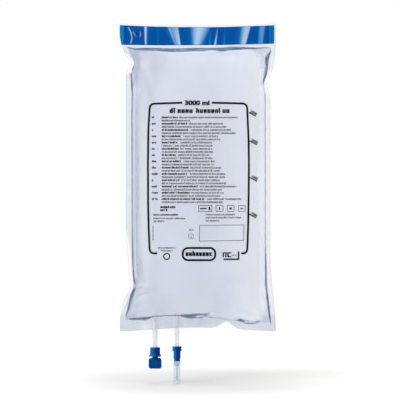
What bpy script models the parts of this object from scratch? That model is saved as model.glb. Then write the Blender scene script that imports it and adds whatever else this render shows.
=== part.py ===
"""Three litre clear film fluid bag, hung by a strap, with two port tubes at its bottom edge.

Metres, +Z up. The origin is the centre of the hanger strap, in the plane where the two film
sheets are welded together, and the printed sheet faces -Y.
"""

import math
from collections import namedtuple

import bmesh
import bpy
from mathutils import Vector

# Film sheets
FILM_WIDTH = 0.2205  # each sheet laid flat, side edge to side edge
FILM_HEIGHT = 0.4339  # top edge of the header to the bottom edge
FILM_THICKNESS = 0.0003
BELLY_DEPTH = 0.0750  # front to back where the bag is full
HEADER_HEIGHT = 0.0337  # top edge down to the weld above the solution
BOTTOM_HEM = 0.0155
HEADER_SAG = 0.0031  # the top edge hangs lower in the middle
SAG_REACH = 0.0613  # from the top edge down to where the sag has gone
BOTTOM_RISE = 0.0050  # the bottom edge curves up in the middle
CLEARANCE = 0.0003  # between pieces that touch

# The two sides. The filling draws each side edge in below the flat top edge and above the flat
# bottom edge. belly is from the centre plane to the side edge of the full bag.
Side = namedtuple("Side", "belly hem top_flare bottom_flare")
SIDES = {
    -1: Side(belly=0.1013, hem=0.0078, top_flare=0.052, bottom_flare=0.086),
    1: Side(belly=0.1025, hem=0.0064, top_flare=0.090, bottom_flare=0.110),
}
TOP_FLARE_POWER = 2.5
BOTTOM_FLARE_POWER = 1.1

# How the flat sheets swell into a full bag
TOP_SHOULDER = 0.105  # height over which the bag fills out under the top weld
TOP_SHOULDER_POWER = 2.1
BOTTOM_SHOULDER = 0.080
BOTTOM_SHOULDER_POWER = 1.35  # above 1 makes the bottom blunt
UPPER_FULLNESS = 0.95  # depth just under the top shoulder, as a share of the belly's
PUCKER_DEPTH = 0.0011  # small gathers beside the top and bottom welds
PUCKER_LENGTH = 0.037
PUCKER_REACH = 0.020
PUCKER_START = 0.0044  # depth of the sheet at which the gathers are full

# Dents in the hems, where the stiff edge buckles as the bag fills
Dent = namedtuple("Dent", "side place depth spread turns")
SIDE_DENTS = (
    Dent(side=-1, place=-0.0395, depth=0.0080, spread=0.0082, turns=1),
    Dent(side=1, place=-0.0690, depth=0.0050, spread=0.0115, turns=-1),
    Dent(side=-1, place=-0.3540, depth=0.0068, spread=0.0150, turns=-1),
    Dent(side=-1, place=-0.3260, depth=0.0034, spread=0.0300, turns=-1),
)
SIDE_DENT_SHARE = 0.50  # of a side dent that the weld line follows
BOTTOM_DENT = Dent(side=0, place=0.0405, depth=0.0093, spread=0.0115, turns=1)

# Where the weld above the bottom hem leaves the bottom edge's own curve
WELD_LIFT = 0.0022  # over the port tubes
WELD_LIFT_PLACE = -0.0480
WELD_LIFT_SPREAD = 0.0240
WELD_DROP = 0.0036  # towards the right
WELD_DROP_START = 0.0100
WELD_DROP_RUN = 0.0350

# Valleys that run from the dents and corners into the filled sheets
Valley = namedtuple("Valley", "start end depth spread")
VALLEYS = (
    Valley(start=(-0.092, -0.040), end=(-0.066, -0.112), depth=0.0050, spread=0.009),
    Valley(start=(0.094, -0.024), end=(0.070, -0.100), depth=0.0045, spread=0.010),
    Valley(start=(-0.092, -0.351), end=(-0.056, -0.338), depth=0.0045, spread=0.009),
    Valley(start=(-0.098, -0.392), end=(-0.064, -0.350), depth=0.0030, spread=0.009),
    Valley(start=(0.0405, -0.398), end=(0.030, -0.330), depth=0.0055, spread=0.012),
    Valley(start=(0.099, -0.392), end=(0.074, -0.330), depth=0.0030, spread=0.010),
)

VALLEY_LIMIT = 0.6  # of the sheet's depth that the valleys may take away

# Grid of the sheets between their weld lines
SHEET_COLUMNS = 20
SHEET_ROWS = 30
COLUMN_CROWDING = 0.40  # how much closer together the columns stand towards the side welds
ROW_CROWDING = 0.45
FILLING_EDGE = 0.12  # the filling stops this share of a grid step short of each weld

# Hanger strap
STRAP_TOP = 0.0144
STRAP_BOTTOM = -0.0125
STRAP_TAPER = 0.0085  # rise of the strap's lower edge towards the right
STRAP_LEFT = -0.1100
STRAP_RIGHT = 0.1078
STRAP_THICKNESS = 0.0004
STRAP_WELD = 0.0075  # flat weld at each end
STRAP_RUN_OUT = 0.0150  # from a weld to where the strap lifts freely
HEADER_ABOVE_STRAP = 0.0025
STRAP_COLUMNS = 52
STRAP_ROWS = 4
Bulge = namedtuple("Bulge", "place height spread slant")
STRAP_BULGES = (
    Bulge(place=-0.0745, height=0.0009, spread=0.0060, slant=0.02),
    Bulge(place=-0.0385, height=0.0018, spread=0.0100, slant=-0.36),
    Bulge(place=-0.0090, height=0.0026, spread=0.0140, slant=0.05),
    Bulge(place=0.0225, height=0.0008, spread=0.0060, slant=0.20),
    Bulge(place=0.0578, height=0.0023, spread=0.0120, slant=0.10),
    Bulge(place=0.0828, height=0.0014, spread=0.0090, slant=0.05),
)

# Port tubes, welded between the sheets in the bottom hem
PORT_X = -0.0601  # left tube, for a spike
PORT_TUBE_DIAMETER = 0.0081
PORT_TUBE_WALL = 0.0012
CONNECTOR_X = -0.0293  # right tube, to the connector
CONNECTOR_TUBE_DIAMETER = 0.0071
CONNECTOR_TUBE_WALL = 0.0010
PORT_TUBE_SHOWN = 0.0255  # bottom edge of the film to the top of the closure
CONNECTOR_TUBE_SHOWN = 0.0260
TUBE_SEAT = 0.0065  # length of tube inside its closure or connector
TUBE_REACH = 0.0040  # tube end above the bottom weld line
COLLAR_REACH = 0.0075  # the film's collar runs on over the tube to here

# Twist-off closure: sleeve, flange, thin neck and paddle in one moulding
SLEEVE_DIAMETER = 0.0143
SLEEVE_HEIGHT = 0.0105
FLANGE_DIAMETER = 0.0181
FLANGE_HEIGHT = 0.0021
NECK_DIAMETER = 0.0079
NECK_HEIGHT = 0.0024
PADDLE_WIDTH = 0.0183
PADDLE_HEIGHT = 0.0147
PADDLE_THICKNESS = 0.0042
PADDLE_CORNER = 0.0030
PADDLE_RIM = 0.0018
PADDLE_DISH = 0.0009  # depth of the paddle's two flat faces below its rim
PADDLE_ROOT = 0.0015  # the neck runs this far into the paddle

# Connector: ribbed head and plain barrel, with a closed web between its two bores
HEAD_DIAMETER = 0.0133
HEAD_HEIGHT = 0.0028
GROOVE_DIAMETER = 0.0117
GROOVE_HEIGHT = 0.0014
RIB_DIAMETER = 0.0146
RIB_HEIGHT = 0.0014
RIB_SLOPE = 0.0012
BARREL_DIAMETER = 0.0102
WAIST_DIAMETER = 0.0086
WAIST_HEIGHT = 0.0024  # above the connector's lower end
WAIST_SLOPE = 0.0008
LIP_DIAMETER = 0.0093
LIP_HEIGHT = 0.0014
CONNECTOR_HEIGHT = 0.0203
CONNECTOR_WEB = 0.0012

# Hollow stem in the connector's lower end
SHANK_DIAMETER = 0.0056
SHANK_LENGTH = 0.0060
NOSE_LENGTH = 0.0070  # the cap sits on this length
STEM_DIAMETER = 0.0032
STEM_LENGTH = 0.0145
TIP_DIAMETER = 0.0041
TIP_LENGTH = 0.0059
TIP_END_DIAMETER = 0.0020
STEM_BORE = 0.0010

# Protective cap
CAP_LENGTH = 0.0316
CAP_MOUTH_DIAMETER = 0.0113
CAP_END_DIAMETER = 0.0104
CAP_WALL = 0.0010
CAP_END_WALL = 0.0015

EDGE_ROUND = 0.0005
TURN_STEPS = 24

# Places that follow from the sizes above
FILM_TOP = STRAP_TOP + HEADER_ABOVE_STRAP
FILM_BOTTOM = FILM_TOP - FILM_HEIGHT
TOP_WELD = FILM_TOP - HEADER_HEIGHT
BOTTOM_WELD = FILM_BOTTOM + BOTTOM_HEM


def smooth(share):
    """Ease from 0 to 1."""
    share = min(max(share, 0.0), 1.0)
    return share * share * (3.0 - 2.0 * share)


def hump(distance, spread):
    """Rounded bump of height 1."""
    return math.exp(-((distance / spread) ** 2))


def mix(low, high, share):
    return low + (high - low) * share


def side_dent(side, z):
    """Depth of the dents in one side edge, and how far the hem turns out of its plane there."""
    depth = 0.0
    turn = 0.0
    for dent in SIDE_DENTS:
        if dent.side == side:
            here = dent.depth * hump(z - dent.place, dent.spread)
            depth += here
            squeeze = here * (1.0 - SIDE_DENT_SHARE)
            turn += dent.turns * out_of_plane(SIDES[side].hem, squeeze)
    return depth, turn


def out_of_plane(hem, squeeze):
    """A hem keeps its width, so what the front view loses turns towards the front or back."""
    shown = max(hem - squeeze, 0.0)
    return math.sqrt(max(hem * hem - shown * shown, 0.0))


def side_edge(side, z):
    """Distance of a side edge from the centre plane, without its dents."""
    shape = SIDES[side]
    above = 1.0 - smooth((FILM_TOP - z) / shape.top_flare) ** TOP_FLARE_POWER
    below = smooth(1.0 - (z - FILM_BOTTOM) / shape.bottom_flare) ** BOTTOM_FLARE_POWER
    return mix(shape.belly, FILM_WIDTH / 2, max(above, below))


def side_weld(side, z):
    """Distance of a side weld line from the centre plane."""
    return side_edge(side, z) - SIDES[side].hem - SIDE_DENT_SHARE * side_dent(side, z)[0]


def across(x):
    """1 on the centre plane and 0 at the side edges."""
    return 1.0 - min(abs(2.0 * x / FILM_WIDTH), 1.0) ** 2


def bottom_rise(x):
    """How far the bottom edge curves up at one place across the bag."""
    return BOTTOM_RISE * across(x) ** 2


def weld_shift(x):
    """How far the weld above the bottom hem stands off the bottom edge's own curve."""
    lift = WELD_LIFT * hump(x - WELD_LIFT_PLACE, WELD_LIFT_SPREAD)
    return lift - WELD_DROP * smooth((x - WELD_DROP_START) / WELD_DROP_RUN)


def shifted(x, z):
    """Height of a sheet point once the top edge sags and the bottom edge rises."""
    fade_down = smooth(1.0 - (FILM_TOP - z) / SAG_REACH)
    fade_up = smooth((BOTTOM_WELD + BOTTOM_SHOULDER - z) / BOTTOM_SHOULDER)
    return z - HEADER_SAG * across(x) * fade_down + (bottom_rise(x) + weld_shift(x)) * fade_up


def fullness(z):
    """Half the bag's depth on its centre line at one height."""
    from_top = (TOP_WELD - z) / TOP_SHOULDER
    from_bottom = (z - BOTTOM_WELD) / BOTTOM_SHOULDER
    if from_top <= 0.0 or from_bottom <= 0.0:
        return 0.0
    top = 1.0 - max(1.0 - from_top, 0.0) ** TOP_SHOULDER_POWER
    bottom = (1.0 - max(1.0 - from_bottom, 0.0) ** 2) ** (1.0 / BOTTOM_SHOULDER_POWER)
    growth = mix(1.0, UPPER_FULLNESS, smooth((z - BOTTOM_WELD) / (TOP_WELD - BOTTOM_WELD)))
    return BELLY_DEPTH / 2 * top * bottom * growth


def valley_depth(x, z):
    """How far the valleys sink the sheet at one point."""
    point = Vector((x, z))
    total = 0.0
    for valley in VALLEYS:
        start = Vector(valley.start)
        run = Vector(valley.end) - start
        along = (point - start).dot(run) / run.length_squared
        nearest = start + run * min(max(along, 0.0), 1.0)
        fade = 1.0 - smooth(along)
        total += valley.depth * fade * hump((point - nearest).length, valley.spread)
    return total


def sheet_depth(s, x, z, facing):
    """Distance of a sheet from the weld plane. s runs from -1 to 1 between the side welds."""
    half = (side_weld(-1, z) + side_weld(1, z)) / 2
    rise = fullness(z)
    if rise <= 0.0 or abs(s) >= 1.0:
        return 0.0
    radius = (half**2 + rise**2) / (2.0 * rise)
    arc = math.sqrt(radius**2 - (s * half) ** 2) - (radius - rise)
    from_weld = min(TOP_WELD - z, z - BOTTOM_WELD)
    pucker = math.sin(2.0 * math.pi * x / PUCKER_LENGTH + facing)
    pucker *= PUCKER_DEPTH * math.exp(-from_weld / PUCKER_REACH) * smooth(arc / PUCKER_START)
    sunk = min(valley_depth(x, z), VALLEY_LIMIT * arc)
    return arc - sunk + pucker


def sheet_x(s, z):
    """Width position of a column between the two side welds."""
    return mix(-side_weld(-1, z), side_weld(1, z), (s + 1.0) / 2.0)


def column_stations():
    """Columns from one side weld to the other, closer together towards the welds."""
    shares = [2.0 * i / SHEET_COLUMNS - 1.0 for i in range(SHEET_COLUMNS + 1)]
    return [mix(share, math.sin(math.pi / 2 * share), COLUMN_CROWDING) for share in shares]


def row_stations():
    """Heights from the top weld to the bottom weld, closer together towards the welds."""
    shares = [i / SHEET_ROWS for i in range(SHEET_ROWS + 1)]
    eased = [mix(share, (1.0 - math.cos(math.pi * share)) / 2.0, ROW_CROWDING) for share in shares]
    return [mix(TOP_WELD, BOTTOM_WELD, share) for share in eased]


def hem_point(side, z):
    """Point on a side edge."""
    depth, turn = side_dent(side, z)
    x = side * (side_edge(side, z) - depth)
    return Vector((x, turn, shifted(x, z)))


def sheet_point(s, z, facing):
    x = sheet_x(s, z)
    return Vector((x, facing * sheet_depth(s, x, z, facing), shifted(x, z)))


def bottom_edge_point(x):
    """Point on the bottom edge, which turns out of plane at its dent."""
    dent = BOTTOM_DENT.depth * hump(x - BOTTOM_DENT.place, BOTTOM_DENT.spread)
    turn = BOTTOM_DENT.turns * out_of_plane(BOTTOM_HEM + weld_shift(x), dent)
    return Vector((x, turn, FILM_BOTTOM + bottom_rise(x) + dent))


def film_row(z, facing):
    """One row of sheet points, from the left edge to the right edge."""
    row = [hem_point(-1, z)]
    row += [sheet_point(s, z, facing) for s in column_stations()]
    row.append(hem_point(1, z))
    return row


def film_rows(facing):
    """All rows of one sheet. facing is -1 for the front sheet and 1 for the rear one."""
    rows = [film_row(FILM_TOP, facing)]
    rows += [film_row(z, facing) for z in row_stations()]
    xs = [point.x for point in film_row(FILM_BOTTOM, facing)]
    rows.append([bottom_edge_point(x) for x in xs])
    return rows


def new_object(name, mesh, collection):
    thing = bpy.data.objects.new(name, mesh)
    collection.objects.link(thing)
    return thing


def mesh_from(bm, name):
    mesh = bpy.data.meshes.new(name)
    bm.to_mesh(mesh)
    bm.free()
    return mesh


def add_patch(bm, upper_left, lower_left, lower_right, upper_right, facing):
    """Two triangles, split along the same diagonal whichever way they face."""
    for face in ((upper_left, lower_left, lower_right), (upper_left, lower_right, upper_right)):
        bm.faces.new(face if facing < 0 else reversed(face))


def add_grid(bm, rows, facing):
    """Sheet through rows of points, its faces pointing to the front (-1) or rear (1)."""
    grid = [[bm.verts.new(point) for point in row] for row in rows]
    for upper, lower in zip(grid, grid[1:]):
        for i in range(len(upper) - 1):
            add_patch(bm, upper[i], lower[i], lower[i + 1], upper[i + 1], facing)
    return grid


def lofted(rows, name, facing):
    """Open sheet through rows of points."""
    bm = bmesh.new()
    add_grid(bm, rows, facing)
    return mesh_from(bm, name)


def solidify(thing, thickness, offset):
    shell = thing.modifiers.new("shell", "SOLIDIFY")
    shell.thickness = thickness
    shell.offset = offset
    shell.use_even_offset = True


def boolean(thing, cutter, operation):
    step = thing.modifiers.new(operation.lower() + "_" + cutter.name, "BOOLEAN")
    step.operation = operation
    step.solver = "EXACT"
    step.object = cutter


def hide_cutter(thing):
    thing.hide_render = True
    thing.display_type = "WIRE"


def cylinder_mesh(name, radius, low, high):
    bm = bmesh.new()
    bmesh.ops.create_cone(
        bm, cap_ends=True, segments=TURN_STEPS, radius1=radius, radius2=radius, depth=high - low
    )
    bmesh.ops.translate(bm, verts=bm.verts, vec=(0.0, 0.0, (low + high) / 2))
    return mesh_from(bm, name)


def cylinder_cutter(name, x, radius, low, high, cutters):
    cutter = new_object(name, cylinder_mesh(name, radius, low, high), cutters)
    cutter.location = (x, 0.0, 0.0)
    hide_cutter(cutter)
    return cutter


def half_collar(name, x, radius, low, high, facing, cutters):
    """Half round sleeve that a sheet forms over a tube, on the sheet's own side."""
    collar = cylinder_cutter(name, x, radius, low, high, cutters)
    bm = bmesh.new()
    bm.from_mesh(collar.data)
    plane = Vector((0.0, facing * (CLEARANCE / 2 + FILM_THICKNESS / 4), 0.0))
    geometry = bm.verts[:] + bm.edges[:] + bm.faces[:]
    bmesh.ops.bisect_plane(
        bm, geom=geometry, plane_co=plane, plane_no=(0.0, -facing, 0.0), clear_outer=True
    )
    rim = [edge for edge in bm.edges if edge.is_boundary]
    bmesh.ops.edgeloop_fill(bm, edges=rim)
    bmesh.ops.recalc_face_normals(bm, faces=bm.faces[:])
    bm.to_mesh(collar.data)
    bm.free()
    return collar


def turned(name, profile, x, z, collection):
    """Turned solid. The profile is a closed loop of radius and height, down its outer side."""
    bm = bmesh.new()
    points = [bm.verts.new((radius, 0.0, height)) for radius, height in profile]
    for i, point in enumerate(points):
        following = points[(i + 1) % len(points)]
        if point.co.x > 0.0 or following.co.x > 0.0:
            bm.edges.new((point, following))
    thing = new_object(name, mesh_from(bm, name), collection)
    thing.location = (x, 0.0, z)
    screw = thing.modifiers.new("turn", "SCREW")
    screw.steps = TURN_STEPS
    screw.render_steps = TURN_STEPS
    screw.use_merge_vertices = True
    screw.merge_threshold = 0.00001
    screw.use_smooth_shade = True
    return thing


def finish(thing, color, roughness, transmission=0.0):
    """Give a piece its material."""
    material = bpy.data.materials.new(thing.name)
    material.use_nodes = True
    shader = material.node_tree.nodes["Principled BSDF"]
    shader.inputs["Base Color"].default_value = (*color, 1.0)
    shader.inputs["Roughness"].default_value = roughness
    shader.inputs["Metallic"].default_value = 0.0
    shader.inputs["Transmission Weight"].default_value = transmission
    thing.data.materials.append(material)


CLEAR_FILM = dict(color=(0.80, 0.84, 0.91), roughness=0.12, transmission=0.8)
CLEAR_PLASTIC = dict(color=(0.86, 0.90, 0.93), roughness=0.15, transmission=0.8)
SOFT_CLEAR = dict(color=(0.90, 0.92, 0.95), roughness=0.30, transmission=0.5)
BLUE_FILM = dict(color=(0.00, 0.09, 0.36), roughness=0.25)
BLUE_PLASTIC = dict(color=(0.00, 0.06, 0.28), roughness=0.40)


def port_tubes():
    """The two tubes: name, place, diameter, wall and length below the film."""
    Port = namedtuple("Port", "name x diameter wall shown")
    return (
        Port("spike_port_tube", PORT_X, PORT_TUBE_DIAMETER, PORT_TUBE_WALL, PORT_TUBE_SHOWN),
        Port(
            "connector_tube",
            CONNECTOR_X,
            CONNECTOR_TUBE_DIAMETER,
            CONNECTOR_TUBE_WALL,
            CONNECTOR_TUBE_SHOWN,
        ),
    )


def film_edge_at(x):
    """Height of the bottom edge beside a tube."""
    return bottom_edge_point(x).z


def bottom_weld_at(x):
    return shifted(x, BOTTOM_WELD)


def film(name, facing, parts, cutters):
    """One sheet, with a half collar over each tube."""
    sheet = new_object(name, lofted(film_rows(facing), name, facing), parts)
    # The two sheets share one weld plane, so each stands off it by half the clearance.
    solidify(sheet, FILM_THICKNESS, 1.0 + CLEARANCE / FILM_THICKNESS)
    for port in port_tubes():
        bore = port.diameter / 2 + CLEARANCE
        low = film_edge_at(port.x)
        high = bottom_weld_at(port.x) + COLLAR_REACH
        collar = half_collar(
            f"{name}_{port.name}_collar", port.x, bore + FILM_THICKNESS, low, high, facing, cutters
        )
        hole = cylinder_cutter(
            f"{name}_{port.name}_hole",
            port.x,
            bore,
            low - BOTTOM_HEM,
            high + FILM_THICKNESS,
            cutters,
        )
        boolean(sheet, collar, "UNION")
        boolean(sheet, hole, "DIFFERENCE")
    finish(sheet, **CLEAR_FILM)
    return sheet


def drawn_in(rows):
    """Pull the outer rows and columns of a grid a little towards their neighbours."""
    rows = [list(row) for row in rows]
    for row in rows:
        row[0] = row[0].lerp(row[1], FILLING_EDGE)
        row[-1] = row[-1].lerp(row[-2], FILLING_EDGE)
    first = [point.lerp(inner, FILLING_EDGE) for point, inner in zip(rows[0], rows[1])]
    last = [point.lerp(inner, FILLING_EDGE) for point, inner in zip(rows[-1], rows[-2])]
    return [first] + rows[1:-1] + [last]


def solution(parts, cutters):
    """The filling: two sheets of its own, a clearance inside the film, and the walls between."""
    bm = bmesh.new()
    sides = []
    for facing in (-1, 1):
        rows = [[sheet_point(s, z, facing) for s in column_stations()] for z in row_stations()]
        rows = drawn_in(rows)
        for point in (point for row in rows for point in row):
            point.y = facing * max(abs(point.y) - CLEARANCE / 2, CLEARANCE / 4)
        sides.append(add_grid(bm, rows, facing))
    front, rear = sides
    walls = (
        (front[0], rear[0]),
        (rear[-1], front[-1]),
        ([row[0] for row in rear], [row[0] for row in front]),
        ([row[-1] for row in front], [row[-1] for row in rear]),
    )
    for near, far in walls:
        for i in range(len(near) - 1):
            bm.faces.new((near[i], near[i + 1], far[i + 1], far[i]))
    filling = new_object("solution", mesh_from(bm, "solution"), parts)
    for port in port_tubes():
        radius = port.diameter / 2 + 2.0 * CLEARANCE + FILM_THICKNESS
        notch = cylinder_cutter(
            f"solution_{port.name}_notch",
            port.x,
            radius,
            film_edge_at(port.x),
            bottom_weld_at(port.x) + COLLAR_REACH + CLEARANCE,
            cutters,
        )
        boolean(filling, notch, "DIFFERENCE")
    finish(filling, color=(0.78, 0.84, 0.92), roughness=0.05, transmission=0.9)
    return filling


def strap_lift(x, z):
    """How far the slack strap stands off the header."""
    from_end = min(x - STRAP_LEFT, STRAP_RIGHT - x) - STRAP_WELD
    free = smooth(from_end / STRAP_RUN_OUT)
    return free * sum(
        bulge.height * hump(x - bulge.place - bulge.slant * z, bulge.spread) for bulge in STRAP_BULGES
    )


def hanger_strap(parts):
    """Blue strip, welded to the header at both ends, with soft waves between."""
    seat = 1.5 * CLEARANCE + FILM_THICKNESS
    rows = []
    for row in range(STRAP_ROWS + 1):
        points = []
        for column in range(STRAP_COLUMNS + 1):
            x = mix(STRAP_LEFT, STRAP_RIGHT, column / STRAP_COLUMNS)
            z = mix(STRAP_TOP, STRAP_BOTTOM + STRAP_TAPER * x, row / STRAP_ROWS)
            side = -1 if x < 0.0 else 1
            lean = side_edge(side, z) / side_edge(side, FILM_TOP)
            points.append(Vector((x * lean, -seat - strap_lift(x, z), shifted(x, z))))
        rows.append(points)
    strap = new_object("hanger_strap", lofted(rows, "hanger_strap", -1), parts)
    solidify(strap, STRAP_THICKNESS, 1.0)
    finish(strap, **BLUE_FILM)
    return strap


def port_tube(port, parts):
    """Plain tube from just inside the bag down into its closure or connector."""
    outer = port.diameter / 2
    inner = outer - port.wall
    edge = film_edge_at(port.x)
    top = bottom_weld_at(port.x) + TUBE_REACH - edge
    bottom = -port.shown - TUBE_SEAT
    profile = [(outer, top), (outer, bottom), (inner, bottom), (inner, top)]
    tube = turned(port.name, profile, port.x, edge, parts)
    finish(tube, **SOFT_CLEAR)
    return tube


def paddle_solid(cutters, center):
    """Flat grip with rounded corners and a raised rim round both faces."""
    bm = bmesh.new()
    bmesh.ops.create_cube(bm, size=1.0)
    bmesh.ops.scale(bm, vec=(PADDLE_WIDTH, PADDLE_THICKNESS, PADDLE_HEIGHT), verts=bm.verts)
    corners = [e for e in bm.edges if abs((e.verts[0].co - e.verts[1].co).normalized().y) > 0.9]
    bmesh.ops.bevel(
        bm, geom=corners, offset=PADDLE_CORNER, segments=4, profile=0.5, affect="EDGES"
    )
    faces = [face for face in bm.faces if abs(face.normal.y) > 0.9]
    bmesh.ops.inset_individual(bm, faces=faces, thickness=PADDLE_RIM, depth=0.0)
    bmesh.ops.inset_individual(
        bm, faces=faces, thickness=PADDLE_DISH / 2, depth=-PADDLE_DISH
    )
    paddle = new_object("closure_paddle", mesh_from(bm, "closure_paddle"), cutters)
    paddle.location = center
    hide_cutter(paddle)
    return paddle


def twist_off_closure(parts, cutters):
    """Sleeve over the left tube, flange, thin neck and paddle, moulded in one."""
    sleeve = SLEEVE_DIAMETER / 2
    flange = FLANGE_DIAMETER / 2
    neck = NECK_DIAMETER / 2
    socket = PORT_TUBE_DIAMETER / 2 + CLEARANCE
    socket_depth = TUBE_SEAT + CLEARANCE
    flange_low = -SLEEVE_HEIGHT - FLANGE_HEIGHT
    paddle_top = flange_low - NECK_HEIGHT
    profile = [
        (sleeve - EDGE_ROUND, 0.0),
        (sleeve, -EDGE_ROUND),
        (sleeve, -SLEEVE_HEIGHT),
        (flange, -SLEEVE_HEIGHT - FLANGE_HEIGHT / 2),
        (flange, flange_low),
        (neck, flange_low),
        (neck, paddle_top - PADDLE_ROOT),
        (0.0, paddle_top - PADDLE_ROOT),
        (0.0, -socket_depth),
        (socket, -socket_depth),
        (socket, 0.0),
    ]
    top = film_edge_at(PORT_X) - PORT_TUBE_SHOWN
    closure = turned("twist_off_closure", profile, PORT_X, top, parts)
    center = (PORT_X, 0.0, top + paddle_top - PADDLE_HEIGHT / 2)
    boolean(closure, paddle_solid(cutters, center), "UNION")
    finish(closure, **BLUE_PLASTIC)
    return closure


def connector_top():
    return film_edge_at(CONNECTOR_X) - CONNECTOR_TUBE_SHOWN


def connector_body(parts):
    """Ribbed head and barrel, bored from both ends up to a closed web."""
    head = HEAD_DIAMETER / 2
    groove = GROOVE_DIAMETER / 2
    rib = RIB_DIAMETER / 2
    barrel = BARREL_DIAMETER / 2
    waist = WAIST_DIAMETER / 2
    lip = LIP_DIAMETER / 2
    waist_z = -CONNECTOR_HEIGHT + WAIST_HEIGHT
    groove_top = -HEAD_HEIGHT
    rib_top = groove_top - GROOVE_HEIGHT
    rib_low = rib_top - RIB_HEIGHT
    socket = CONNECTOR_TUBE_DIAMETER / 2 + CLEARANCE
    web_top = -TUBE_SEAT - CLEARANCE
    bore = SHANK_DIAMETER / 2 + CLEARANCE
    bore_end = -CONNECTOR_HEIGHT + SHANK_LENGTH + CLEARANCE
    bore_end = min(bore_end, web_top - CONNECTOR_WEB)
    profile = [
        (head - EDGE_ROUND, 0.0),
        (head, -EDGE_ROUND),
        (head, groove_top),
        (groove, groove_top),
        (groove, rib_top),
        (rib, rib_top),
        (rib, rib_low),
        (barrel, rib_low - RIB_SLOPE),
        (barrel, waist_z + WAIST_SLOPE),
        (waist, waist_z),
        (lip, -CONNECTOR_HEIGHT + LIP_HEIGHT),
        (lip, -CONNECTOR_HEIGHT),
        (bore, -CONNECTOR_HEIGHT),
        (bore, bore_end),
        (0.0, bore_end),
        (0.0, web_top),
        (socket, web_top),
        (socket, 0.0),
    ]
    body = turned("connector_body", profile, CONNECTOR_X, connector_top(), parts)
    finish(body, **BLUE_PLASTIC)
    return body


def connector_spike(parts):
    """Hollow stem: shank in the connector, nose that carries the cap, stem and wider tip."""
    shank = SHANK_DIAMETER / 2
    nose = CAP_MOUTH_DIAMETER / 2 - CAP_WALL - CLEARANCE
    nose_end = nose - (CAP_MOUTH_DIAMETER - CAP_END_DIAMETER) / 2 * NOSE_LENGTH / CAP_LENGTH
    stem = STEM_DIAMETER / 2
    tip = TIP_DIAMETER / 2
    bore = STEM_BORE / 2
    stem_low = -NOSE_LENGTH - STEM_LENGTH
    tip_low = stem_low - TIP_LENGTH
    profile = [
        (bore, SHANK_LENGTH),
        (shank, SHANK_LENGTH),
        (shank, -CLEARANCE),
        (nose, -CLEARANCE),
        (nose_end, -NOSE_LENGTH + EDGE_ROUND),
        (nose_end - EDGE_ROUND, -NOSE_LENGTH),
        (stem, -NOSE_LENGTH),
        (stem, stem_low),
        (tip, stem_low - EDGE_ROUND),
        (tip, stem_low - TIP_LENGTH / 2),
        (TIP_END_DIAMETER / 2, tip_low),
        (bore, tip_low),
    ]
    spike = turned(
        "connector_spike", profile, CONNECTOR_X, connector_top() - CONNECTOR_HEIGHT, parts
    )
    finish(spike, **CLEAR_PLASTIC)
    return spike


def protective_cap(parts):
    """Tapered clear cap, open at the top, with its origin on its pull-off axis."""
    mouth = CAP_MOUTH_DIAMETER / 2
    end = CAP_END_DIAMETER / 2
    wall = CAP_WALL
    top = -CLEARANCE
    profile = [
        (mouth, top),
        (end, -CAP_LENGTH + EDGE_ROUND),
        (end - EDGE_ROUND, -CAP_LENGTH),
        (0.0, -CAP_LENGTH),
        (0.0, -CAP_LENGTH + CAP_END_WALL),
        (end - wall, -CAP_LENGTH + CAP_END_WALL),
        (mouth - wall, top),
    ]
    cap = turned("protective_cap", profile, CONNECTOR_X, connector_top() - CONNECTOR_HEIGHT, parts)
    finish(cap, **CLEAR_PLASTIC)
    return cap


def main():
    for thing in list(bpy.data.objects):
        bpy.data.objects.remove(thing, do_unlink=True)
    parts = bpy.data.collections.new("fluid_bag")
    cutters = bpy.data.collections.new("fluid_bag_cutters")
    bpy.context.scene.collection.children.link(parts)
    bpy.context.scene.collection.children.link(cutters)
    film("front_film", -1, parts, cutters)
    film("rear_film", 1, parts, cutters)
    solution(parts, cutters)
    hanger_strap(parts)
    for port in port_tubes():
        port_tube(port, parts)
    twist_off_closure(parts, cutters)
    connector_body(parts)
    connector_spike(parts)
    protective_cap(parts)


main()
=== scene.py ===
"""Looks of the three litre fluid bag: fine film, filling, strap, print, ports, lights and camera.

Metres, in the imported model's frame. Places written in pixels are those of the photograph, 400 by 400,
seen by the camera set up here.
"""

import math
import random
from collections import namedtuple

import bmesh
import bpy
import numpy as np
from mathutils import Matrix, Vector

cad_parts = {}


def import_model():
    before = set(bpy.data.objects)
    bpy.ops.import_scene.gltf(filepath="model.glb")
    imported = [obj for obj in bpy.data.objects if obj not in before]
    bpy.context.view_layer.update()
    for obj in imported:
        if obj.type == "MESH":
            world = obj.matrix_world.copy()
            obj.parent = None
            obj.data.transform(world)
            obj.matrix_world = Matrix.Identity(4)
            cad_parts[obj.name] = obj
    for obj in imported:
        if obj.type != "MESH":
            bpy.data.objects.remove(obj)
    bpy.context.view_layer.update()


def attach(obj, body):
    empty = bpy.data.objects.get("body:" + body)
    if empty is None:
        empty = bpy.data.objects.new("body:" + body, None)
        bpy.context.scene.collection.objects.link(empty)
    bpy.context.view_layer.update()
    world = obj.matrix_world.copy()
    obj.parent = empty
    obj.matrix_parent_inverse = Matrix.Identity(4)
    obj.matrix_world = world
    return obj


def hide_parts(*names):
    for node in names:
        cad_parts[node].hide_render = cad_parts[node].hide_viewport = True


# Camera, level and in front of the bag
CAMERA_X = 0.0032
CAMERA_Y = -2.5
CAMERA_Z = -0.2322
SENSOR = 36.0
PIXEL = 0.00141  # metres across one pixel at the weld plane
PHOTO_SIDE = 400
PHOTO_MIDDLE = PHOTO_SIDE / 2

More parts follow.
